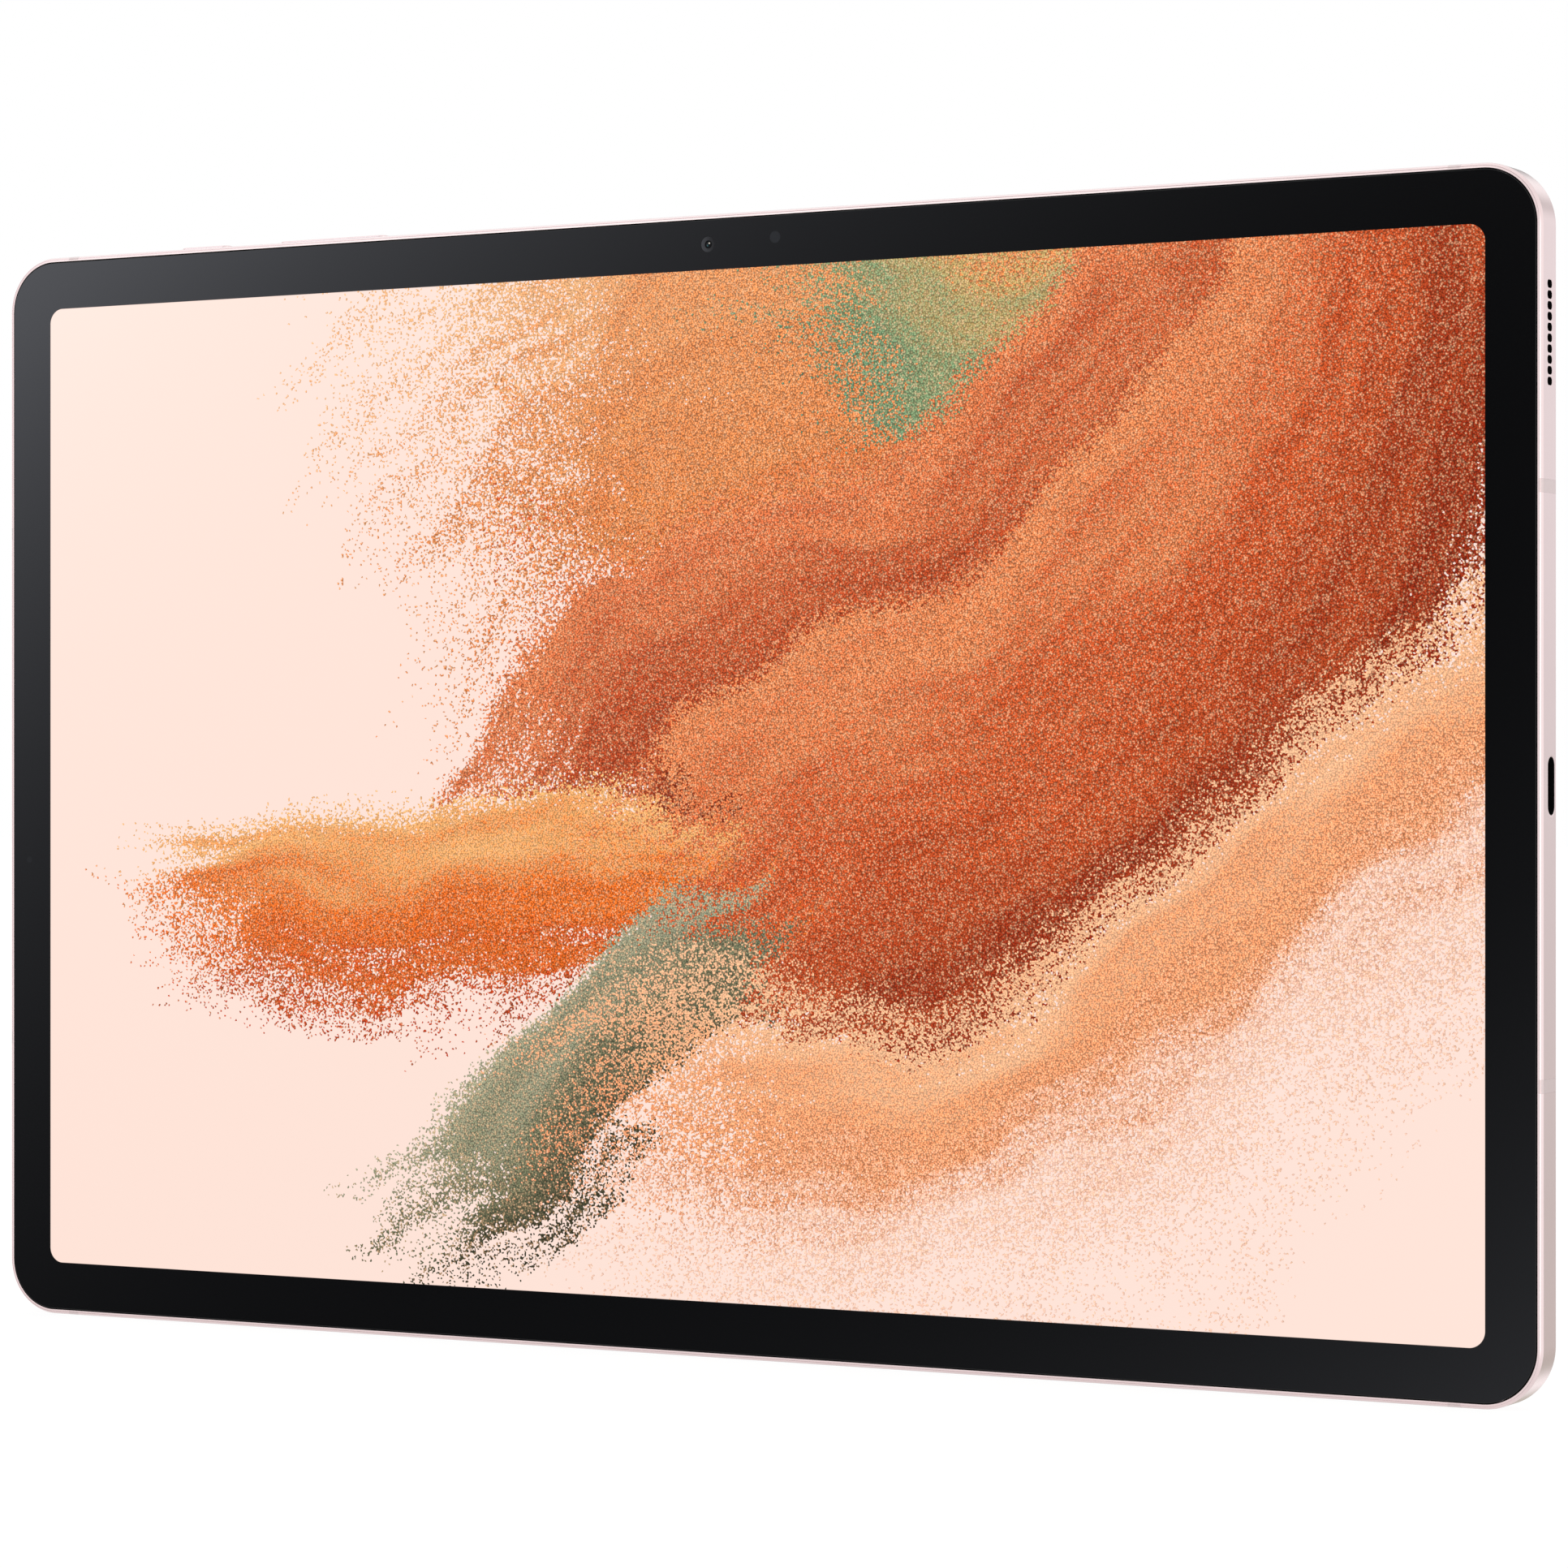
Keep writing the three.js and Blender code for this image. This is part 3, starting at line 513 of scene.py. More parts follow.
# Dark and light colour, range of roughness, and what differs from the usual.
PLAIN_FINISHES = {
    # Filled with pearl pigment: it takes light almost as the metal beside it does.
    "pink_plastic": ((0.66, 0.545, 0.54), (0.70, 0.575, 0.57), (0.27, 0.33),
                     dict(metallic=0.75, scale=4000, bump=(0.06, 0.004))),
    "display_cell": ((0.02, 0.022, 0.026), (0.035, 0.037, 0.042), (0.12, 0.2),
                     dict(scale=600, bump=(0.02, 0.002))),
    "light_guide": ((0.72, 0.73, 0.70), (0.82, 0.83, 0.80), (0.35, 0.5), dict(scale=1500)),
    "bright_steel": ((0.55, 0.56, 0.58), (0.68, 0.69, 0.71), (0.22, 0.36),
                     dict(metallic=1.0, scale=900, stretch=(1, 12, 12))),
    "black_plastic": ((0.010, 0.010, 0.011), (0.020, 0.020, 0.021), (0.42, 0.58), dict(scale=3000)),
    "adhesive_tape": ((0.008, 0.008, 0.009), (0.02, 0.02, 0.02), (0.65, 0.85), dict(scale=1200)),
    "gold_contact": ((0.72, 0.50, 0.20), (0.85, 0.63, 0.30), (0.16, 0.28),
                     dict(metallic=1.0, scale=2500)),
    "battery_pouch": ((0.018, 0.019, 0.022), (0.04, 0.042, 0.048), (0.35, 0.6),
                      dict(scale=250, bump=(0.4, 0.08))),
    "silicon_package": ((0.022, 0.023, 0.026), (0.04, 0.042, 0.046), (0.3, 0.45), dict(scale=2500)),
    "lens_glass": ((0.002, 0.003, 0.006), (0.006, 0.008, 0.016), (0.02, 0.05),
                   dict(scale=400, bump=(0.01, 0.001), coat=1.0, ior=1.6)),
    "matt_black": ((0.0012, 0.0012, 0.0013), (0.003, 0.003, 0.0032), (0.7, 0.85),
                   dict(scale=3000, ior=1.18)),
    "pane_black": ((0.0008, 0.0008, 0.001), (0.002, 0.002, 0.0024), (0.04, 0.08),
                   dict(scale=3000, bump=(0.01, 0.001), ior=1.27)),
}
MATERIALS = {
    "pink_aluminium": pink_aluminium(),
    "polyimide_film": polyimide_film(),
    "circuit_board": circuit_board(),
    "black_mesh": black_mesh(),
}
for finish, (dark, light, roughness, more) in PLAIN_FINISHES.items():
    MATERIALS[finish] = surface_material(f"{finish}_finish", dark, light, roughness, **more)


# ---- screen picture

# The picture is made up for this part: wind-blown ridges of coloured sand, whose crests run at an
# angle across the screen. Distances are from its middle; tones run from the crest inwards.

BLUSH = linear(254, 227, 215)
PALE_GRAIN = linear(253, 200, 154)
GRAIN_SIZE = 0.29
SWAY = (0.016, 34)  # waves per millimetre, width of the sway of every ridge
STREAK = (0.16, 0.16)  # stretch along a ridge, waves per millimetre
FRAY = (30, 60)  # how ragged a ridge's inner edge and its start are
MOTTLE = (0.9, 0.3)  # how far streaks and single grains move the tone
PALE_SHARE = (0.55, 1.1)  # above this chance a grain turns paler, and how fast
SOFT_GRAINS = (0.25, 0.7, 0.6)  # between these greens a grain loses this much relief
BEAD = (1.3, 0.85)  # brightness in a grain's middle, and its fall to the edge
RELIEF = (0.66, 0.8)  # least brightness of a grain, and the range above it

Ridge = namedtuple("Ridge", "angle offset bow waves scatter depth reach start finish tones")
RIDGES = [
    Ridge(-24, 66, 0.0012, (6, 0.04, 1.0), 13, 44, (30, 62), (-84, -30), (40, 96),
          ((253, 206, 150), (240, 138, 60), (214, 92, 34))),
    Ridge(28, 104, -0.0006, (9, 0.03, 0.4), 15, 110, (92, 150), (-52, 34), (240, 280),
          ((250, 190, 132), (236, 144, 82), (222, 112, 56))),
    Ridge(-12, 92, 0.0016, (4, 0.05, 2.0), 8, 34, (14, 34), (-20, 12), (44, 78),
          ((206, 170, 104), (130, 156, 112), (84, 140, 112))),
    Ridge(40, 34, -0.0012, (7, 0.041, 2.1), 4, 58, (52, 88), (-74, -8), (150, 190),
          ((234, 128, 76), (190, 74, 34), (116, 30, 10))),
    Ridge(10, -2, 0.0016, (6, 0.043, 4.0), 6, 38, (22, 42), (-122, -80), (36, 90),
          ((253, 186, 116), (238, 112, 34), (190, 60, 22))),
    Ridge(20, -21, -0.0018, (4, 0.05, 1.2), 3, 27, (20, 31), (-88, -56), (-4, 40),
          ((172, 172, 142), (114, 116, 88), (56, 54, 36))),
    Ridge(30, 2, 0.0019, (6, 0.036, 0.9), 2.5, 66, (58, 96), (-26, 2), (190, 240),
          ((240, 140, 86), (208, 86, 40), (150, 44, 16))),
    Ridge(14, -39, 0.0017, (5, 0.044, 2.6), 9, 36, (18, 70), (-56, 10), (150, 200),
          ((255, 196, 152), (251, 160, 108), (255, 208, 186))),
]


def ramp(tree, position, tones):
    node = tree.nodes.new("ShaderNodeValToRGB")
    node.color_ramp.interpolation = "EASE"
    stops = node.color_ramp.elements
    stops.new(0.5)
    for stop, place_at, tone in zip(stops, (0.0, 0.5, 1.0), tones):
        stop.position = place_at
        stop.color = (*linear(*tone), 1)
    put(tree, node.inputs[0], position)
    return node.outputs[0]


def ridge_layer(tree, x, y, chances, picture, cover, ridge):
    """Lays one ridge over the picture, grain by grain."""
    turn = math.radians(ridge.angle)
    along = x * math.cos(turn) + y * math.sin(turn)
    across = x * math.sin(turn) - y * math.cos(turn)
    height, rate, phase = ridge.waves
    crest = (along * rate + phase).sin() * height + along * along * ridge.bow
    inside = across + ridge.offset + crest
    stretch, fineness = STREAK
    line = add_node(tree, "CombineXYZ", X=along * stretch, Y=inside)
    streak = noise(tree, line.outputs[0], fineness, 4.0)
    scatter = ridge.scatter
    near, far = ridge.reach
    chance = (inside + streak * scatter * 2 - scatter).step(-scatter, scatter)
    ragged_edge, ragged_start = FRAY
    chance = chance * (1 - (inside + streak * ragged_edge - ragged_edge / 2).step(near, far))
    chance = chance * (along + streak * ragged_start - ragged_start / 2).step(*ridge.start)
    chance = chance * (1 - along.step(*ridge.finish))
    shown = chance.over(chances[0] * 0.98 + 0.01)
    streaky, speckled = MOTTLE
    tone = inside / ridge.depth + streak * streaky - streaky / 2
    tone = tone + chances[1] * speckled - speckled / 2
    colour = ramp(tree, tone, ridge.tones)
    return mix_colour(tree, shown, picture, colour), cover.most(shown)


def swayed(tree, centre):
    """The middle of each grain, moved about so that no ridge runs straight."""
    fineness, width = SWAY
    sway = add_node(tree, "TexNoise", {"noise_dimensions": "2D"}, Vector=centre, Scale=fineness,
                    Detail=2.0)
    moves = parts(tree, "Color", Color=sway.outputs["Color"])
    middles = parts(tree, "XYZ", Vector=centre)
    return [middles[i] + (moves[i] - 0.5) * width for i in (0, 1)]


def screen_picture(tree, x, y):
    """The colour of the lit screen, in grains of sand over a plain blush ground."""
    flat = add_node(tree, "CombineXYZ", X=x, Y=y)
    grains = add_node(tree, "TexVoronoi", {"voronoi_dimensions": "2D"}, Vector=flat.outputs[0],
                      Scale=1 / GRAIN_SIZE, Randomness=1.0)
    chances = parts(tree, "Color", Color=grains.outputs["Color"])
    x, y = swayed(tree, grains.outputs["Position"])
    picture = add_node(tree, "RGB").outputs[0]
    picture.default_value = (*BLUSH, 1)
    cover = chances[2] * 0
    for ridge in RIDGES:
        picture, cover = ridge_layer(tree, x, y, chances, picture, cover, ridge)
    limit, rate = PALE_SHARE
    pale = ((chances[2] - limit) * rate).most(0) * cover
    picture = mix_colour(tree, pale, picture, PALE_GRAIN)
    firmness = relief_share(tree, picture) * cover
    middle, fall = BEAD
    bead = middle - Field(tree, grains.outputs["Distance"]).step(0.1, 0.7) * fall
    least, spread = RELIEF
    relief = (bead * (chances[1] * spread + least) - 1) * firmness + 1
    return add_node(tree, "VectorMath", {"operation": "SCALE"}, Vector=picture,
                    Scale=relief).outputs[0]


def relief_share(tree, picture):
    """How much relief a grain keeps: dark sand all of it, pale sand less."""
    green = parts(tree, "Color", Color=picture)[1]
    low, high, loss = SOFT_GRAINS
    return 1 - green.step(low, high) * loss


def rounded_distance(x, y, half_x, half_y, radius):
    """How far a point lies outside a rounded rectangle."""
    over_x = (x.abs() - (half_x - radius)).most(0)
    over_y = (y.abs() - (half_y - radius)).most(0)
    return (over_x * over_x + over_y * over_y).root() - radius


def disc(x, y, centre, radius, blur=0.06):
    off_x, off_y = x - centre[0], y - centre[1]
    distance = (off_x * off_x + off_y * off_y).root()
    return 1 - distance.step(radius - blur, radius + blur)


PRINT_BLACK = ((0.0005, 0.0005, 0.0006), (0.0011, 0.0011, 0.0012))
WINDOW_GREY = (0.011, 0.012, 0.014)
SENSOR_WINDOWS = {"light_sensor": (0.95, 1.0), "side_sensor": (0.57, 0.35)}  # radius, strength
SCREEN_BLUR = 0.04


def sensor_window(x, y, middle_z, node):
    middle = cad_middle(node)
    radius, strength = SENSOR_WINDOWS[node]
    return disc(x, y, (middle.x, middle.z - middle_z), radius) * strength


def cover_glass_material(middle_z):
    """Glossy glass, printed black round the lit screen, with two faint sensor windows."""
    material, tree, shader, point = new_material("cover_glass_finish")
    x, _, z = parts(tree, "XYZ", Vector=point)
    x, y = x / MM, z / MM - middle_z
    normal = add_node(tree, "TexCoord").outputs["Normal"]
    front = (0 - parts(tree, "XYZ", Vector=normal)[1]).over(0.5)
    outside = rounded_distance(x, y, *SCREEN_HALF, SCREEN_RADIUS)
    lit = (1 - outside.step(-SCREEN_BLUR, SCREEN_BLUR)) * front
    speck = noise(tree, point, 4500, 1.0)
    colour = mix_colour(tree, speck.step(0.3, 0.7), *PRINT_BLACK)
    for node in SENSOR_WINDOWS:
        colour = mix_colour(tree, sensor_window(x, y, middle_z, node), colour, WINDOW_GREY)
    picture = mix_colour(tree, lit, (0, 0, 0), screen_picture(tree, x, y))
    set_inputs(tree, shader, Base_Color=colour, Roughness=speck * 0.03 + 0.045,
               Emission_Color=picture, Emission_Strength=1.0)
    return material


# ---- housing

HOUSING_LOW, HOUSING_HIGH = cad_box("rear_housing")
MIDDLE_Z = (HOUSING_LOW.z + HOUSING_HIGH.z) / 2
HALF_X = HOUSING_HIGH.x
HALF_Z = HOUSING_HIGH.z - MIDDLE_Z
RIM_Y = HOUSING_LOW.y
REAR_Y = HOUSING_HIGH.y
CENTRE = (0, MIDDLE_Z)


def rear_profile():
    """From the rear face round to the flat side, as (y, inset)."""
    inset, rise = REAR_FILLET
    points = []
    for step in range(FILLET_STEPS + 1):
        angle = step / FILLET_STEPS * math.pi / 2
        points.append((REAR_Y - rise * (1 - math.cos(angle)), inset * (1 - math.sin(angle))))
    return points


def front_profile():
    """From the flat side over the crowned chamfer and its fine groove to the glass, as (y, inset)."""
    width, depth = CHAMFER
    start, end = Vector((RIM_Y + depth, 0)), Vector((RIM_Y, width))
    outward = Vector((-width, -depth)).normalized()
    points = []
    for step in range(FILLET_STEPS + 1):
        t = step / FILLET_STEPS
        points.append(tuple(start.lerp(end, t) + outward * CHAMFER_BULGE * 4 * t * (1 - t)))
    slope, flat, deep = GROOVE
    points += [(RIM_Y + deep, width + slope), (RIM_Y + deep, width + slope + flat),
               (RIM_Y + LEDGE_TILT, width + 2 * slope + flat), (RIM_Y, SEAT_INSET - SEAT_EDGE)]
    return points


def tablet_form(name, profile, wrap=False):
    """A body with the tablet's outline, drawn in by a profile of (y, inset)."""
    levels = inset_levels(profile, HALF_X, HALF_Z, CORNER_RADIUS)
    return loft(name, levels, CENTRE, steps=CORNER_STEPS, wrap=wrap)


def housing_body():
    seat_y = RIM_Y + SEAT_DEPTH - RIM_DROP
    inside = [(RIM_Y + SEAT_EDGE, SEAT_INSET), (seat_y, SEAT_INSET), (seat_y, WALL),
              (REAR_Y - REAR_SKIN, WALL)]
    return tablet_form("housing", rear_profile() + front_profile() + inside)


def mouth_cut(centre, plane, half_u, half_v, radius, surface, inward, depth, lip, steps=8):
    """A cutter that starts outside a surface; lip is the width and depth of its flared mouth."""
    lip_width, lip_depth = lip
    levels = []
    for down, grow in ((-BEYOND, lip_width), (0.0, lip_width), (lip_depth, 0.0), (depth, 0.0)):
        levels.append((surface + inward * down, half_u + grow, half_v + grow, radius + grow))
    return loft("cut", levels, centre, plane, steps)


def top_opening(x, y, half_u, half_v, lip, steps=8):
    """A cutter for an opening through the top edge, with a small even bevel."""
    return mouth_cut((x, y), "top", half_u, half_v, half_v, HOUSING_HIGH.z, -1, WALL + BEYOND,
                     (lip, lip), steps)


def key_cap_halves(node):
    """Half the length and half the width of a key's cap, which its flange overhangs."""
    return [half - over for half, over in zip(halves(node, "xy"), KEY_OVERHANG)]


def key_cut(node):
    middle = cad_middle(node)
    half_u, half_v = (half + KEY_SPARE for half in key_cap_halves(node))
    return top_opening(middle.x, middle.y, half_u, half_v, KEY_LIP)


def tray_cut():
    middle = cad_middle("card_tray")
    half_u, half_v = (size / 2 + TRAY_SPARE for size in TRAY_FACE)
    return top_opening(middle.x, middle.y, half_u, half_v, TRAY_LIP)


def microphone_cut(node):
    """A round hole in the top edge, in line with the keys."""
    radius, lip = MICROPHONE_HOLE
    return top_opening(cad_middle(node).x, cad_middle("power_button").y, radius, radius, lip, 6)


def dock_cut():
    middle = cad_middle("dock_connector")
    gap, depth, lip = DOCK_MOUTH
    half_u, half_v = (half + gap for half in halves("dock_connector", "xy"))
    return mouth_cut(middle[:2], "top", half_u, half_v, half_v, 0, 1, depth, (lip, lip))


def usb_cut():
    """The stadium mouth of the port and the wider pocket behind it."""
    middle = cad_middle("usb_c_shell")
    half_u, half_v = (half - USB_SKIN for half in halves("usb_c_shell", "zy"))
    lip_width, lip_depth = USB_LIP
    step_x = cad_box("usb_c_shell")[1].x + USB_POCKET_GAP
    levels = [stadium(HALF_X + BEYOND, half_u, half_v, lip_width),
              stadium(HALF_X, half_u, half_v, lip_width), stadium(HALF_X - lip_depth, half_u, half_v),
              stadium(step_x, half_u, half_v), stadium(step_x, *USB_POCKET),
              stadium(HALF_X - WALL - BEYOND, *USB_POCKET)]
    return loft("cut", levels, (middle.z, middle.y), "side", 12)


def slot_centres():
    mesh = cad_middle("speaker_mesh_right")
    return [(mesh.z + offset, mesh.y) for offset in spaced(SLOT_COUNT, SLOT_PITCH)]


def slot_cuts(side):
    return [mouth_cut(centre, "side", *SLOT, SLOT_RADIUS, side * HALF_X, -side, SLOT_DEPTH, SLOT_LIP)
            for centre in slot_centres()]


def antenna_form(corner, sign_x, sign_z, gap):
    """A long-edge crossing, a short-side crossing and the thin line that joins them behind."""
    low, high = cad_box(f"antenna_band_{corner}")
    edge_x = (low.x if sign_x > 0 else high.x) + sign_x * ANTENNA_HALF
    side_z = (low.z if sign_z > 0 else high.z) + sign_z * ANTENNA_HALF
    out_x, out_z = sign_x * HALF_X, MIDDLE_Z + sign_z * HALF_Z
    half, line = ANTENNA_HALF + gap, ANTENNA_LINE_HALF + gap
    depth, line_y = ANTENNA_DEPTH + gap, REAR_Y - ANTENNA_LINE_DEPTH - gap
    front, back = RIM_Y - BEYOND, REAR_Y + BEYOND
    spans = [
        ((edge_x - half, front, out_z - sign_z * depth), (edge_x + half, back, out_z + sign_z * BEYOND)),
        ((out_x - sign_x * depth, front, side_z - half), (out_x + sign_x * BEYOND, back, side_z + half)),
        ((edge_x - line, line_y, side_z - sign_z * line),
         (edge_x + line, back, out_z - sign_z * ANTENNA_LINE_END)),
        ((edge_x - sign_x * line, line_y, side_z - line),
         (out_x - sign_x * ANTENNA_LINE_END, back, side_z + line)),
    ]
    form, *others = [box_piece("block", *span) for span in spans]
    for block in others:
        boolean(form, block, "UNION")
    return form


CORNERS = [("top_right", 1, 1), ("top_left", -1, 1), ("bottom_left", -1, -1),
           ("bottom_right", 1, -1)]


def screw_boss(node):
    """The hollow post in the housing that a board screw goes into."""
    middle = cad_middle(node)
    floor = REAR_Y - REAR_SKIN
    gap, root, thickness = BOSS_HEIGHTS
    top, base = cad_box("main_board")[1].y + gap, floor + root
    outer, bore = SCREW_BOSS
    profile = [(base, outer), (top, outer), (top, bore), (floor - thickness, bore),
               (floor - thickness, TINY)]
    return lathe("boss", profile, (middle.x, middle.z), steps=6)


def rear_camera_cut():
    middle = cad_middle("rear_camera_ring")
    gap, depth = RING_HOLE
    radius = halves("rear_camera_ring", "x")[0] + gap
    profile = [(REAR_Y + BEYOND, radius), (REAR_Y - depth, radius)]
    return lathe("cut", profile, (middle.x, middle.z), steps=16)


def build_housing():
    housing = housing_body()
    bosses = [screw_boss(f"board_screw_{index + 1}") for index in range(SCREW_COUNT)]
    boolean(housing, joined("bosses", bosses), "UNION")
    cuts = [key_cut("power_button"), key_cut("volume_rocker"), tray_cut(), dock_cut(), usb_cut(),
            microphone_cut("microphone_1"), microphone_cut("microphone_2"), *slot_cuts(1),
            *slot_cuts(-1), rear_camera_cut()]
    boolean(housing, joined("cuts", cuts))
    for corner, sign_x, sign_z in CORNERS:
        boolean(housing, antenna_form(corner, sign_x, sign_z, ANTENNA_GAP))
    place(housing, "pink_aluminium", node="rear_housing")
    for corner, sign_x, sign_z in CORNERS:
        band = antenna_form(corner, sign_x, sign_z, 0)
        boolean(band, tablet_form("outer_solid", rear_profile() + front_profile()), "INTERSECT")
        band.name = f"antenna_insert_{corner}"
        place(band, "pink_plastic", node=f"antenna_band_{corner}")


# ---- glass and camera

def build_glass():
    low, high = cad_box("cover_glass")
    middle_z = (low.z + high.z) / 2
    half_x, half_z = high.x - GLASS_GAP, high.z - middle_z - GLASS_GAP
    profile = rounded_edge(high.y, low.y, GLASS_EDGE, 8)
    levels = inset_levels(profile, half_x, half_z, GLASS_RADIUS)
    glass = loft("screen_glass", levels, (0, middle_z), steps=CORNER_STEPS)
    lens = cad_middle("front_camera_lens")
    centre = (lens.x, lens.z)
    radius = CAMERA_WINDOW_RADIUS
    hole = [(low.y - BEYOND, radius), (high.y + BEYOND, radius)]
    boolean(glass, lathe("cut", hole, centre, steps=10))
    place(glass, "cover_glass", node="cover_glass", material=cover_glass_material(middle_z))
    build_front_camera(centre, low.y, high.y)
    outer, inner, drop = GASKET
    profile = [(high.y, outer), (RIM_Y + drop, outer), (RIM_Y + drop, inner), (high.y, inner)]
    gasket = tablet_form("glass_gasket", profile, wrap=True)
    place(gasket, "matt_black")


def build_front_camera(centre, front, back):
    """A dark collar set flush in the glass, sloping down to the near-black lens."""
    outer = CAMERA_WINDOW_RADIUS - COLLAR_GAP
    flat, eye, shallow, deep = COLLAR
    profile = [(front + 2 * shallow, outer), (front + shallow, outer - shallow),
               (front + shallow, flat), (front + deep, eye), (back, eye), (back, outer)]
    collar = lathe("camera_collar", profile, centre, steps=16, wrap=True)
    place(collar, "black_plastic", material=collar_grey(centre[0]))
    lens_back = cad_box("front_camera_lens")[1].y
    build_lens("camera_lens", centre, lens_back, front + deep + TINY, FRONT_LENS_RADIUS, -1,
               "front_camera_lens")


def build_lens(name, centre, back, rim, radius, outward, node):
    """A shallow dome inside a narrow shoulder; outward is -1 on the screen side, 1 on the rear."""
    size = radius / FRONT_LENS_RADIUS
    profile = [(back, radius)]
    for out, inset in LENS_SHOULDER:
        profile.append((rim + outward * size * out, radius - size * inset))
    height, foot, inset = LENS_DOME
    for step in range(7):
        angle = step / 6 * math.pi / 2
        out, across = height * math.sin(angle) + foot, (radius - size * inset) * math.cos(angle)
        profile.append((rim + outward * size * out, max(TINY, across)))
    lens = lathe(name, profile, centre, steps=16)
    material = camera_lens_black(f"{name}_finish", centre, size)
    place(lens, "lens_glass", node=node, material=material)


def collar_grey(middle_x):
    """Dark grey with painted shade: a little lighter on the left of the lens than on the right."""
    material, tree, shader, point = new_material("collar_grey_finish")
    across = parts(tree, "XYZ", Vector=point)[0] / MM
    fine = noise(tree, point, 5000, 2.0)
    # painted shade: the grey darkens from the left of the lens to the right
    painted_shade = (across + fine * 0.3).step(middle_x - 1.2, middle_x + 1.4)
    grey = mix_colour(tree, painted_shade, (0.046, 0.047, 0.053), (0.012, 0.012, 0.014))
    set_inputs(tree, shader, Base_Color=grey, Roughness=fine * 0.1 + 0.3, IOR=1.22)
    bumped(tree, shader, fine, 0.02, 0.002)
    return material


def camera_lens_black(name, centre, size):
    """Deep lens glass: near black, with a small pale and a small teal painted highlight in its colour,
    standing in for glints from its coatings.
    """
    material, tree, shader, point = new_material(name)
    place_x, _, place_z = parts(tree, "XYZ", Vector=point)
    x, y = ((part / MM - middle) / size for part, middle in zip((place_x, place_z), centre))
    fine = noise(tree, point, 3000, 1.0)
    # painted highlights: a pale and a teal glint mixed into the lens colour
    pale, teal_glint = disc(x, y, *PAINTED_PALE_GLINT), disc(x, y, *PAINTED_TEAL_GLINT)
    glass = mix_colour(tree, fine, (0.001, 0.001, 0.0015), (0.002, 0.002, 0.004))
    glass = mix_colour(tree, teal_glint * 0.8, glass, (0.03, 0.09, 0.10))
    glass = mix_colour(tree, pale, glass, (0.62, 0.58, 0.50))
    set_inputs(tree, shader, Base_Color=glass, Roughness=fine * 0.04 + 0.05, IOR=1.25)
    return material


# ---- keys, tray, ports

def build_key(node, name, body):
    """A pill-shaped key with a rounded top, standing on the flange that keeps it in."""
    low, high = cad_box(node)
    middle = cad_middle(node)
    flange = halves(node, "xy")
    half_u, half_v = key_cap_halves(node)
    flange_top = low.z + KEY_FLANGE
    levels = [stadium(low.z, *flange), stadium(flange_top, *flange)]
    levels += inset_levels(rounded_edge(flange_top, high.z, KEY_EDGE, 6), half_u, half_v, half_v)
    key = loft(name, levels, middle[:2], "top", 12)
    place(key, "pink_aluminium", body=body, node=node)


def build_tray():
    """The face with its pin hole, and the framed sheet behind it that carries the card."""
    low, high = cad_box("card_tray")
    middle = cad_middle("card_tray")
    half_u, half_v = (size / 2 for size in TRAY_FACE)
    face = rounded_edge(high.z - TRAY_HEAD, high.z, TRAY_EDGE, 4)
    levels = inset_levels(face, half_u, half_v, half_v)
    tray = loft("card_tray_fine", levels, middle[:2], "top", 12)
    width, thickness, end = TRAY_CARRIER
    sheet = box_piece("sheet", (middle.x - width, middle.y - thickness, low.z),
                      (middle.x + width, middle.y + thickness, high.z - end))
    boolean(tray, sheet, "UNION")
    border, lower, upper = TRAY_WINDOW
    window = box_piece("window", (middle.x - width + border, middle.y - WALL, low.z + lower),
                       (middle.x + width - border, middle.y + WALL, low.z + upper))
    boolean(tray, window)
    offset, radius, depth, lip = TRAY_PIN
    boolean(tray, mouth_cut((middle.x + offset, middle.y), "top", radius, radius, radius,
                            high.z, -1, depth, (lip, lip), 6))
    place(tray, "pink_aluminium", body="tray", node="card_tray")


def build_usb():
    """The drawn steel shell and the black sleeve inside its mouth."""
    low, high = cad_box("usb_c_shell")
    middle = cad_middle("usb_c_shell")
    centre = (middle.z, middle.y)
    half_u, half_v = halves("usb_c_shell", "zy")
    back = low.x + USB_BACK
    mouth_width, mouth_depth = USB_MOUTH
    stages = [(low.x, 0), (high.x - USB_EDGE, 0), (high.x, USB_EDGE),
              (high.x, USB_SKIN - mouth_width), (high.x - mouth_depth, USB_SKIN), (back, USB_SKIN)]
    shell = loft("usb_socket_shell", inset_levels(stages, half_u, half_v, half_v), centre, "side", 12)
    place(shell, "bright_steel", node="usb_c_shell")
    gap, wall, recess, behind = USB_SLEEVE
    outer_u, outer_v = half_u - USB_SKIN - gap, half_v - USB_SKIN - gap
    levels = tube_levels(back + behind, HALF_X - recess, outer_u, outer_v, outer_v, wall)
    sleeve = loft("usb_socket_sleeve", levels, centre, "side", 12, wrap=True)
    place(sleeve, "matt_black")


def build_usb_tongue():
    low, high = cad_box("usb_c_tongue")
    middle = cad_middle("usb_c_tongue")
    half_u, half_v = halves("usb_c_tongue", "zy")
    nose = rounded_edge(low.x, high.x, USB_NOSE, 4)
    tongue = loft("usb_socket_tongue", inset_levels(nose, half_u, half_v, half_v),
                  (middle.z, middle.y), "side", 8)
    place(tongue, "black_plastic", node="usb_c_tongue")
    count, pitch, half_width = USB_CONTACTS
    back, front = (high.x - distance for distance in USB_CONTACT_SPAN)
    rise, thickness = USB_CONTACT_RISE
    pads = []
    for face in (low.y - rise, high.y + rise - thickness):
        for offset in spaced(count, pitch):
            z = middle.z + offset
            pads.append(box_piece("pad", (back, face, z - half_width),
                                  (front, face + thickness, z + half_width)))
    place(joined("usb_socket_contacts", pads), "gold_contact")


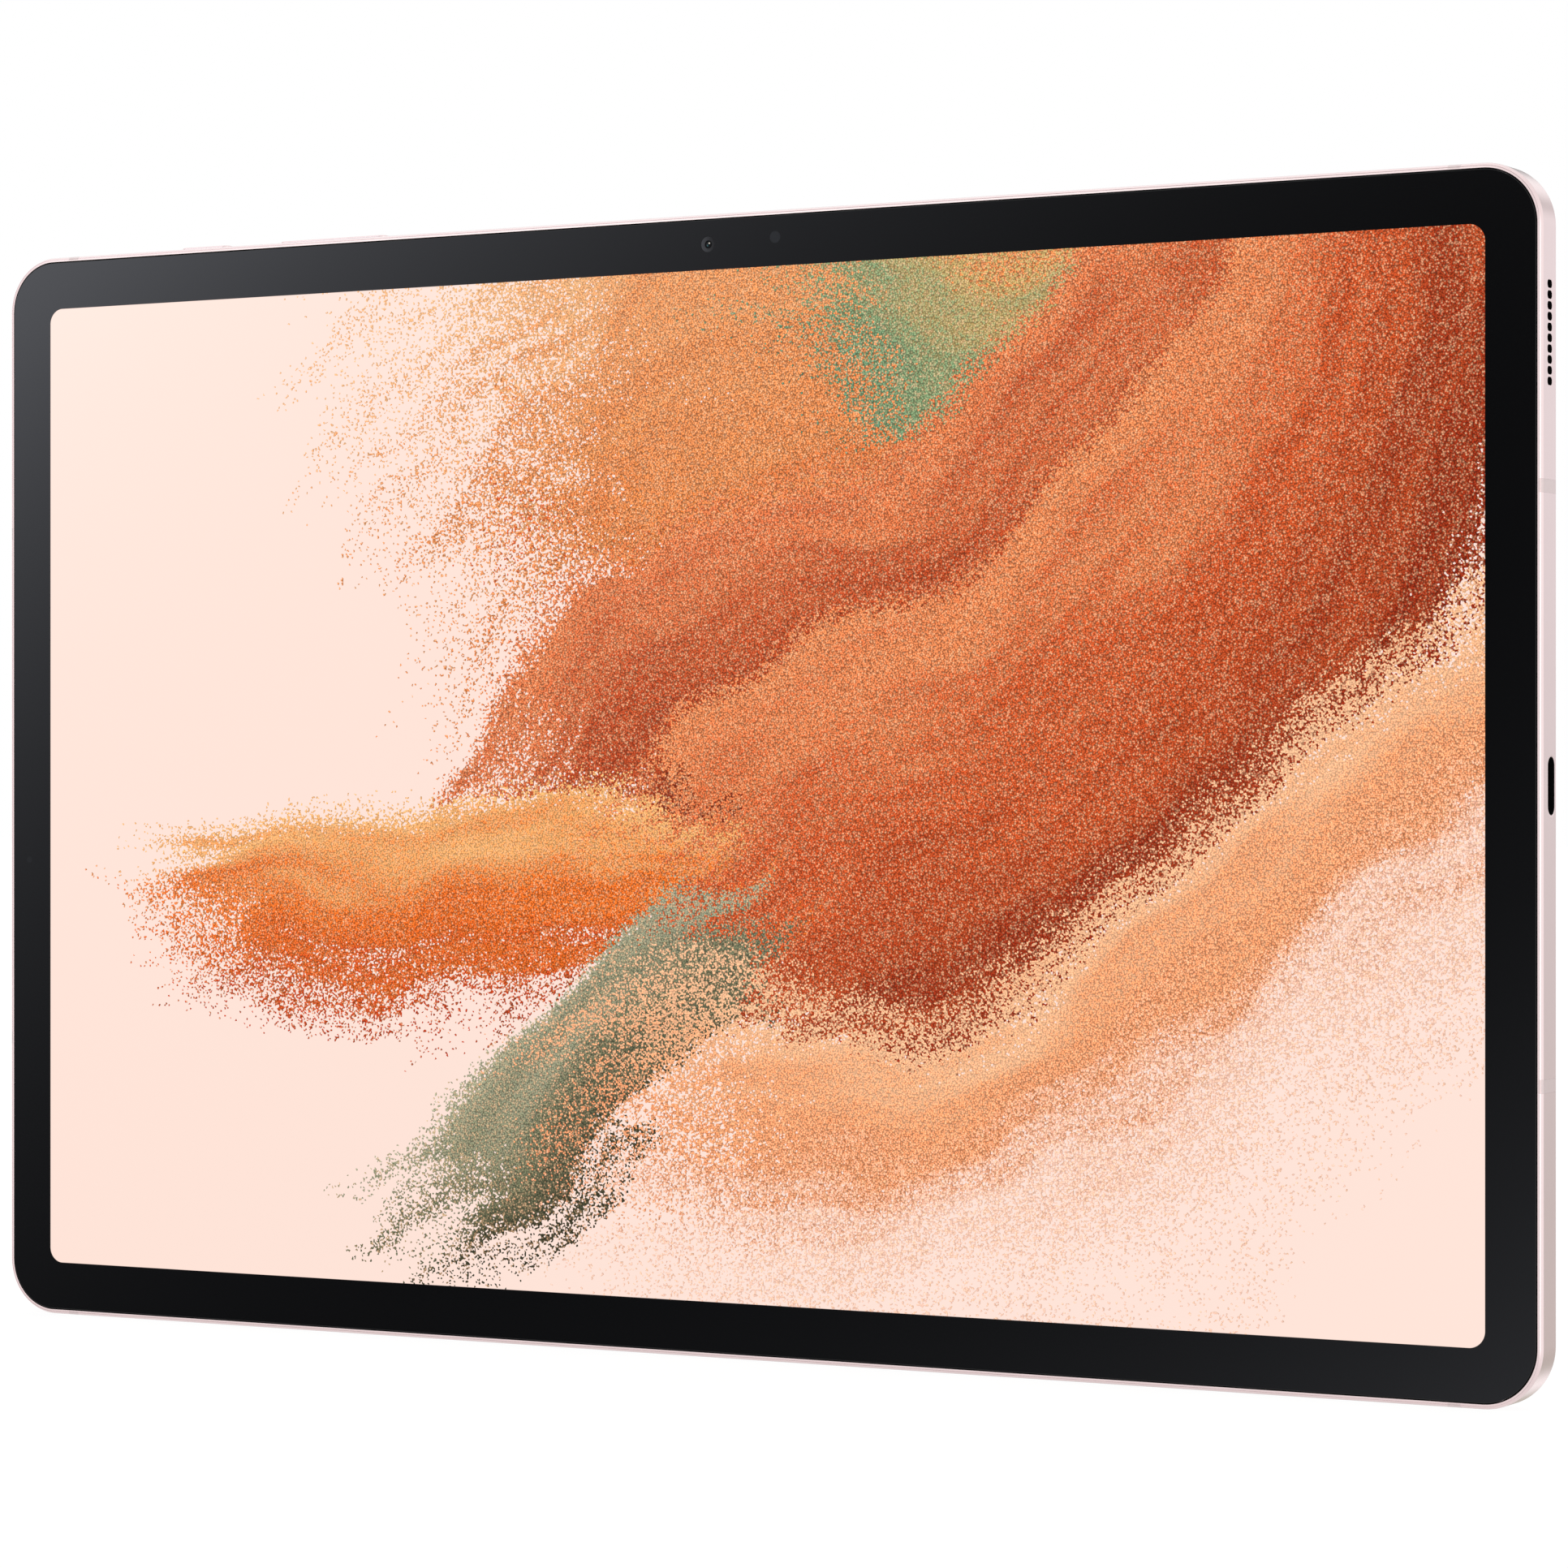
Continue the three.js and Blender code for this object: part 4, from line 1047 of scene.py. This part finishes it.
def build_slot_liners(side, name):
    """The black grille moulding that lines each speaker slot."""
    gap, wall, recess, behind = LINER
    half_u, half_v = (half - gap for half in SLOT)
    levels = tube_levels(side * (HALF_X - WALL + behind), side * (HALF_X - recess),
                         half_u, half_v, SLOT_RADIUS - gap, wall)
    liners = [loft("liner", levels, centre, "side", 8, wrap=True) for centre in slot_centres()]
    place(joined(name, liners), "matt_black")


def build_dock():
    """The insert in the bottom edge, with a round well for each contact."""
    low, high = cad_box("dock_connector")
    middle = cad_middle("dock_connector")
    half_u, half_v = halves("dock_connector", "xy")
    edge = rounded_edge(high.z, low.z + DOCK_EDGE, DOCK_EDGE, 4)
    insert = loft("dock_insert", inset_levels(edge, half_u, half_v, half_v), middle[:2], "top", 12)
    names = [f"dock_contact_{index}" for index in range(1, 5)]
    radius, depth = DOCK_WELL
    hole = [(-BEYOND, radius), (depth, radius)]
    wells = [lathe("well", hole, cad_middle(name)[:2], "top", 8) for name in names]
    boolean(insert, joined("wells", wells))
    place(insert, "black_plastic", node="dock_connector")
    for name in names:
        build_dock_pad(name)


def build_dock_pad(name):
    """A contact with a domed face."""
    low, high = cad_box(name)
    middle = cad_middle(name)
    radius = halves(name, "x")[0]
    rise, rounding, flat = DOCK_DOME
    profile = [(high.z, radius)]
    for step in range(6):
        angle = step / 6 * math.pi / 2
        share = 1 - rounding + rounding * math.cos(angle)
        profile.append((low.z + rise - rise * math.sin(angle), radius * share))
    profile.append((low.z, radius * flat))
    pad = lathe(name.replace("contact", "pad"), profile, middle[:2], "top", 10)
    place(pad, "gold_contact", node=name)


def build_rear_camera():
    """A metal ring, and in it a glass pane with a sloping recess round the domed lens."""
    low, high = cad_box("rear_camera_ring")
    middle = cad_middle("rear_camera_ring")
    centre = (middle.x, middle.z)
    radius = halves("rear_camera_ring", "x")[0]
    glass_low, glass_high = cad_box("rear_camera_glass")
    pane_radius = halves("rear_camera_glass", "x")[0]
    bore = pane_radius + PANE_GAP
    seat_width, seat_gap = RING_SEAT
    inner, seat = bore - seat_width, glass_low.y - seat_gap
    corners = [(low.y, inner), (low.y, radius), (high.y, radius), (high.y, bore), (seat, bore),
               (seat, inner)]
    ring = lathe("lens_ring", closed_soft(corners, RING_EDGES), centre, steps=16, wrap=True)
    place(ring, "pink_aluminium", node="rear_camera_ring")
    top, eye = glass_high.y, REAR_LENS_RADIUS + EYE_GAP
    recess = [(top - depth, eye + beyond) for beyond, depth in PANE_RECESS]
    profile = [(glass_low.y, pane_radius), (top - PANE_GAP, pane_radius),
               (top, pane_radius - PANE_GAP), *recess, (glass_low.y, eye)]
    pane = lathe("lens_pane", profile, centre, steps=16, wrap=True)
    place(pane, "pane_black", node="rear_camera_glass")
    build_lens("rear_lens", centre, glass_low.y, top - PANE_RECESS[-1][1], REAR_LENS_RADIUS, 1,
               "rear_camera_glass")


def finish_cad_nodes():
    """Every CAD node gets the procedural finish of its material slot."""
    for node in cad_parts.values():
        for slot in node.material_slots:
            name = slot.material.name.split(".")[0]
            slot.material = MATERIALS.get(name, MATERIALS["lens_glass"])


# ---- stage, light and camera

def build_floor():
    bm = bmesh.new()
    bmesh.ops.create_grid(bm, x_segments=8, y_segments=8, size=6)
    floor = mesh_object("floor", bm)
    material, tree, shader, point = new_material("floor_finish")
    speck = noise(tree, point, 60, 2.0)
    colour = mix_colour(tree, speck, (0.08, 0.08, 0.08), (0.1, 0.1, 0.1))
    set_inputs(tree, shader, Base_Color=colour, Roughness=0.9, Specular_IOR_Level=0.0,
               Emission_Color=(1, 1, 1), Emission_Strength=0.93)
    floor.data.materials.append(material)
    floor.visible_glossy = False


# Soft lights and soft dark flags round the object: direction, spread, and how much red, green
# and blue each adds to a white surround.
SOFT_LIGHTS = [
    # Right: a narrow light for the chamfer's line, a softer one for the rest of it.
    ((0.87, -0.50, 0.0), 0.06, (1.3, 1.3, 1.3)),
    ((0.95, 0.30, 0.0), 0.20, (0.17, 0.18, 0.18)),
    # Above: light on the top edge, and two dark lines behind it.
    ((-0.45, 0.25, 0.85), 0.40, (0.10, 0.13, 0.13)),
    ((-0.53, 0.50, 0.68), 0.05, (0.08, 0.14, 0.14)),
    ((-0.53, 0.81, 0.27), 0.012, (-0.42, -0.40, -0.40)),
    ((-0.50, 0.85, 0.13), 0.014, (-0.85, -0.85, -0.85)),
    # In front, for the ledge beside the glass.
    ((-0.52, -0.77, 0.40), 0.03, (0.60, 0.74, 0.72)),
    # Below, for the bottom edge.
    ((-0.45, 0.45, -0.75), 0.08, (-0.12, -0.12, -0.12)),
    ((-0.45, 0.80, -0.36), 0.04, (-0.34, -0.35, -0.37)),
    # Behind: a light at the height of the slots, and a darkening below it.
    ((0.36, 0.93, 0.10), 0.02, (0.09, 0.09, 0.11)),
    ((0.36, 0.93, -0.14), 0.05, (-0.40, -0.40, -0.40)),
    ((0.36, 0.93, -0.16), 0.015, (0.0, -0.02, -0.07)),
    # The turns of the top and bottom corners, each dark, bright and dark.
    ((0.25, 0.92, 0.31), 0.012, (-0.44, -0.46, -0.46)),
    ((-0.02, 0.93, 0.37), 0.015, (0.12, 0.12, 0.12)),
    ((-0.28, 0.93, 0.23), 0.02, (-0.75, -0.74, -0.74)),
    ((0.27, 0.90, -0.33), 0.015, (-0.34, -0.34, -0.40)),
    ((0.02, 0.93, -0.36), 0.010, (0.25, 0.25, 0.25)),
    ((-0.24, 0.93, -0.26), 0.02, (-0.44, -0.46, -0.54)),
]
# The glass reflects a dark patch in front, lighter to its upper left and lower right.
PATCH_GROWTH = [(0.62, 13.95, 14.1, 0.684), (0.353, -10.31, -13.06, 2.26)]
PATCH_TINT = (0.965, 0.99, 1.09)
PATCH_BOX = (0.487, 0.135, 0.122, 0.12)  # how far left, half width, half height, soft edge


def added_light(tree, colour, amount, strength):
    node = add_node(tree, "VectorMath", {"operation": "MULTIPLY_ADD"})
    for socket, value in zip(node.inputs, (amount, strength, colour)):
        put(tree, socket, value)
    return node.outputs[0]


def build_light():
    """A soft white surround, with one soft dark patch in front."""
    world = bpy.data.worlds.new("studio")
    bpy.context.scene.world = world
    world.use_nodes = True
    tree = world.node_tree
    direction = add_node(tree, "TexCoord").outputs["Generated"]
    side, depth, rise = parts(tree, "XYZ", Vector=direction)
    left = 0 - side
    upper, lower = (((left - start) * across + rise * up - drop).exp()
                    for start, across, up, drop in PATCH_GROWTH)
    patch = added_light(tree, (0, 0, 0), (upper + lower).least(2.0), PATCH_TINT)
    middle, half_width, half_height, edge = PATCH_BOX
    off_patch = ((left - middle).abs() - half_width).most(rise.abs() - half_height)
    weight = (1 - off_patch.step(0.0, edge)) * (1 - depth.step(-0.6, -0.4))
    around = rise * 0.06 + 1.02
    for (x, y, z), spread, strength in SOFT_LIGHTS:
        off_x, off_y, off_z = side - x, depth - y, rise - z
        apart = off_x * off_x + off_y * off_y + off_z * off_z
        around = added_light(tree, around, (apart * (-1 / spread)).exp(), strength)
    lit = mix_colour(tree, weight, around, patch)
    seen = add_node(tree, "LightPath").outputs["Is Camera Ray"]
    put(tree, tree.nodes["Background"].inputs["Color"], mix_colour(tree, seen, lit, (1, 1, 1)))


CAMERA_PLACE = (397.82, -681.95, 92.80)
CAMERA_TURN = 29.49
CAMERA_LENS = (111.6, 36)  # focal length, sensor width


def build_camera():
    data = bpy.data.cameras.new("camera")
    data.lens, data.sensor_width = CAMERA_LENS
    data.clip_start, data.clip_end = 0.01, 50
    camera = bpy.data.objects.new("camera", data)
    camera.location = Vector(CAMERA_PLACE) * MM
    camera.rotation_euler = (math.radians(90), 0, math.radians(CAMERA_TURN))
    bpy.context.scene.collection.objects.link(camera)
    bpy.context.scene.camera = camera
    bpy.context.scene.view_settings.view_transform = "Standard"


build_camera()
build_light()
build_floor()
build_housing()
build_glass()
build_key("power_button", "power_key_cap", "power_key")
build_key("volume_rocker", "volume_key_cap", "volume_key")
build_tray()
build_usb()
build_usb_tongue()
build_slot_liners(1, "speaker_liners_right")
build_slot_liners(-1, "speaker_liners_left")
build_dock()
build_rear_camera()
finish_cad_nodes()
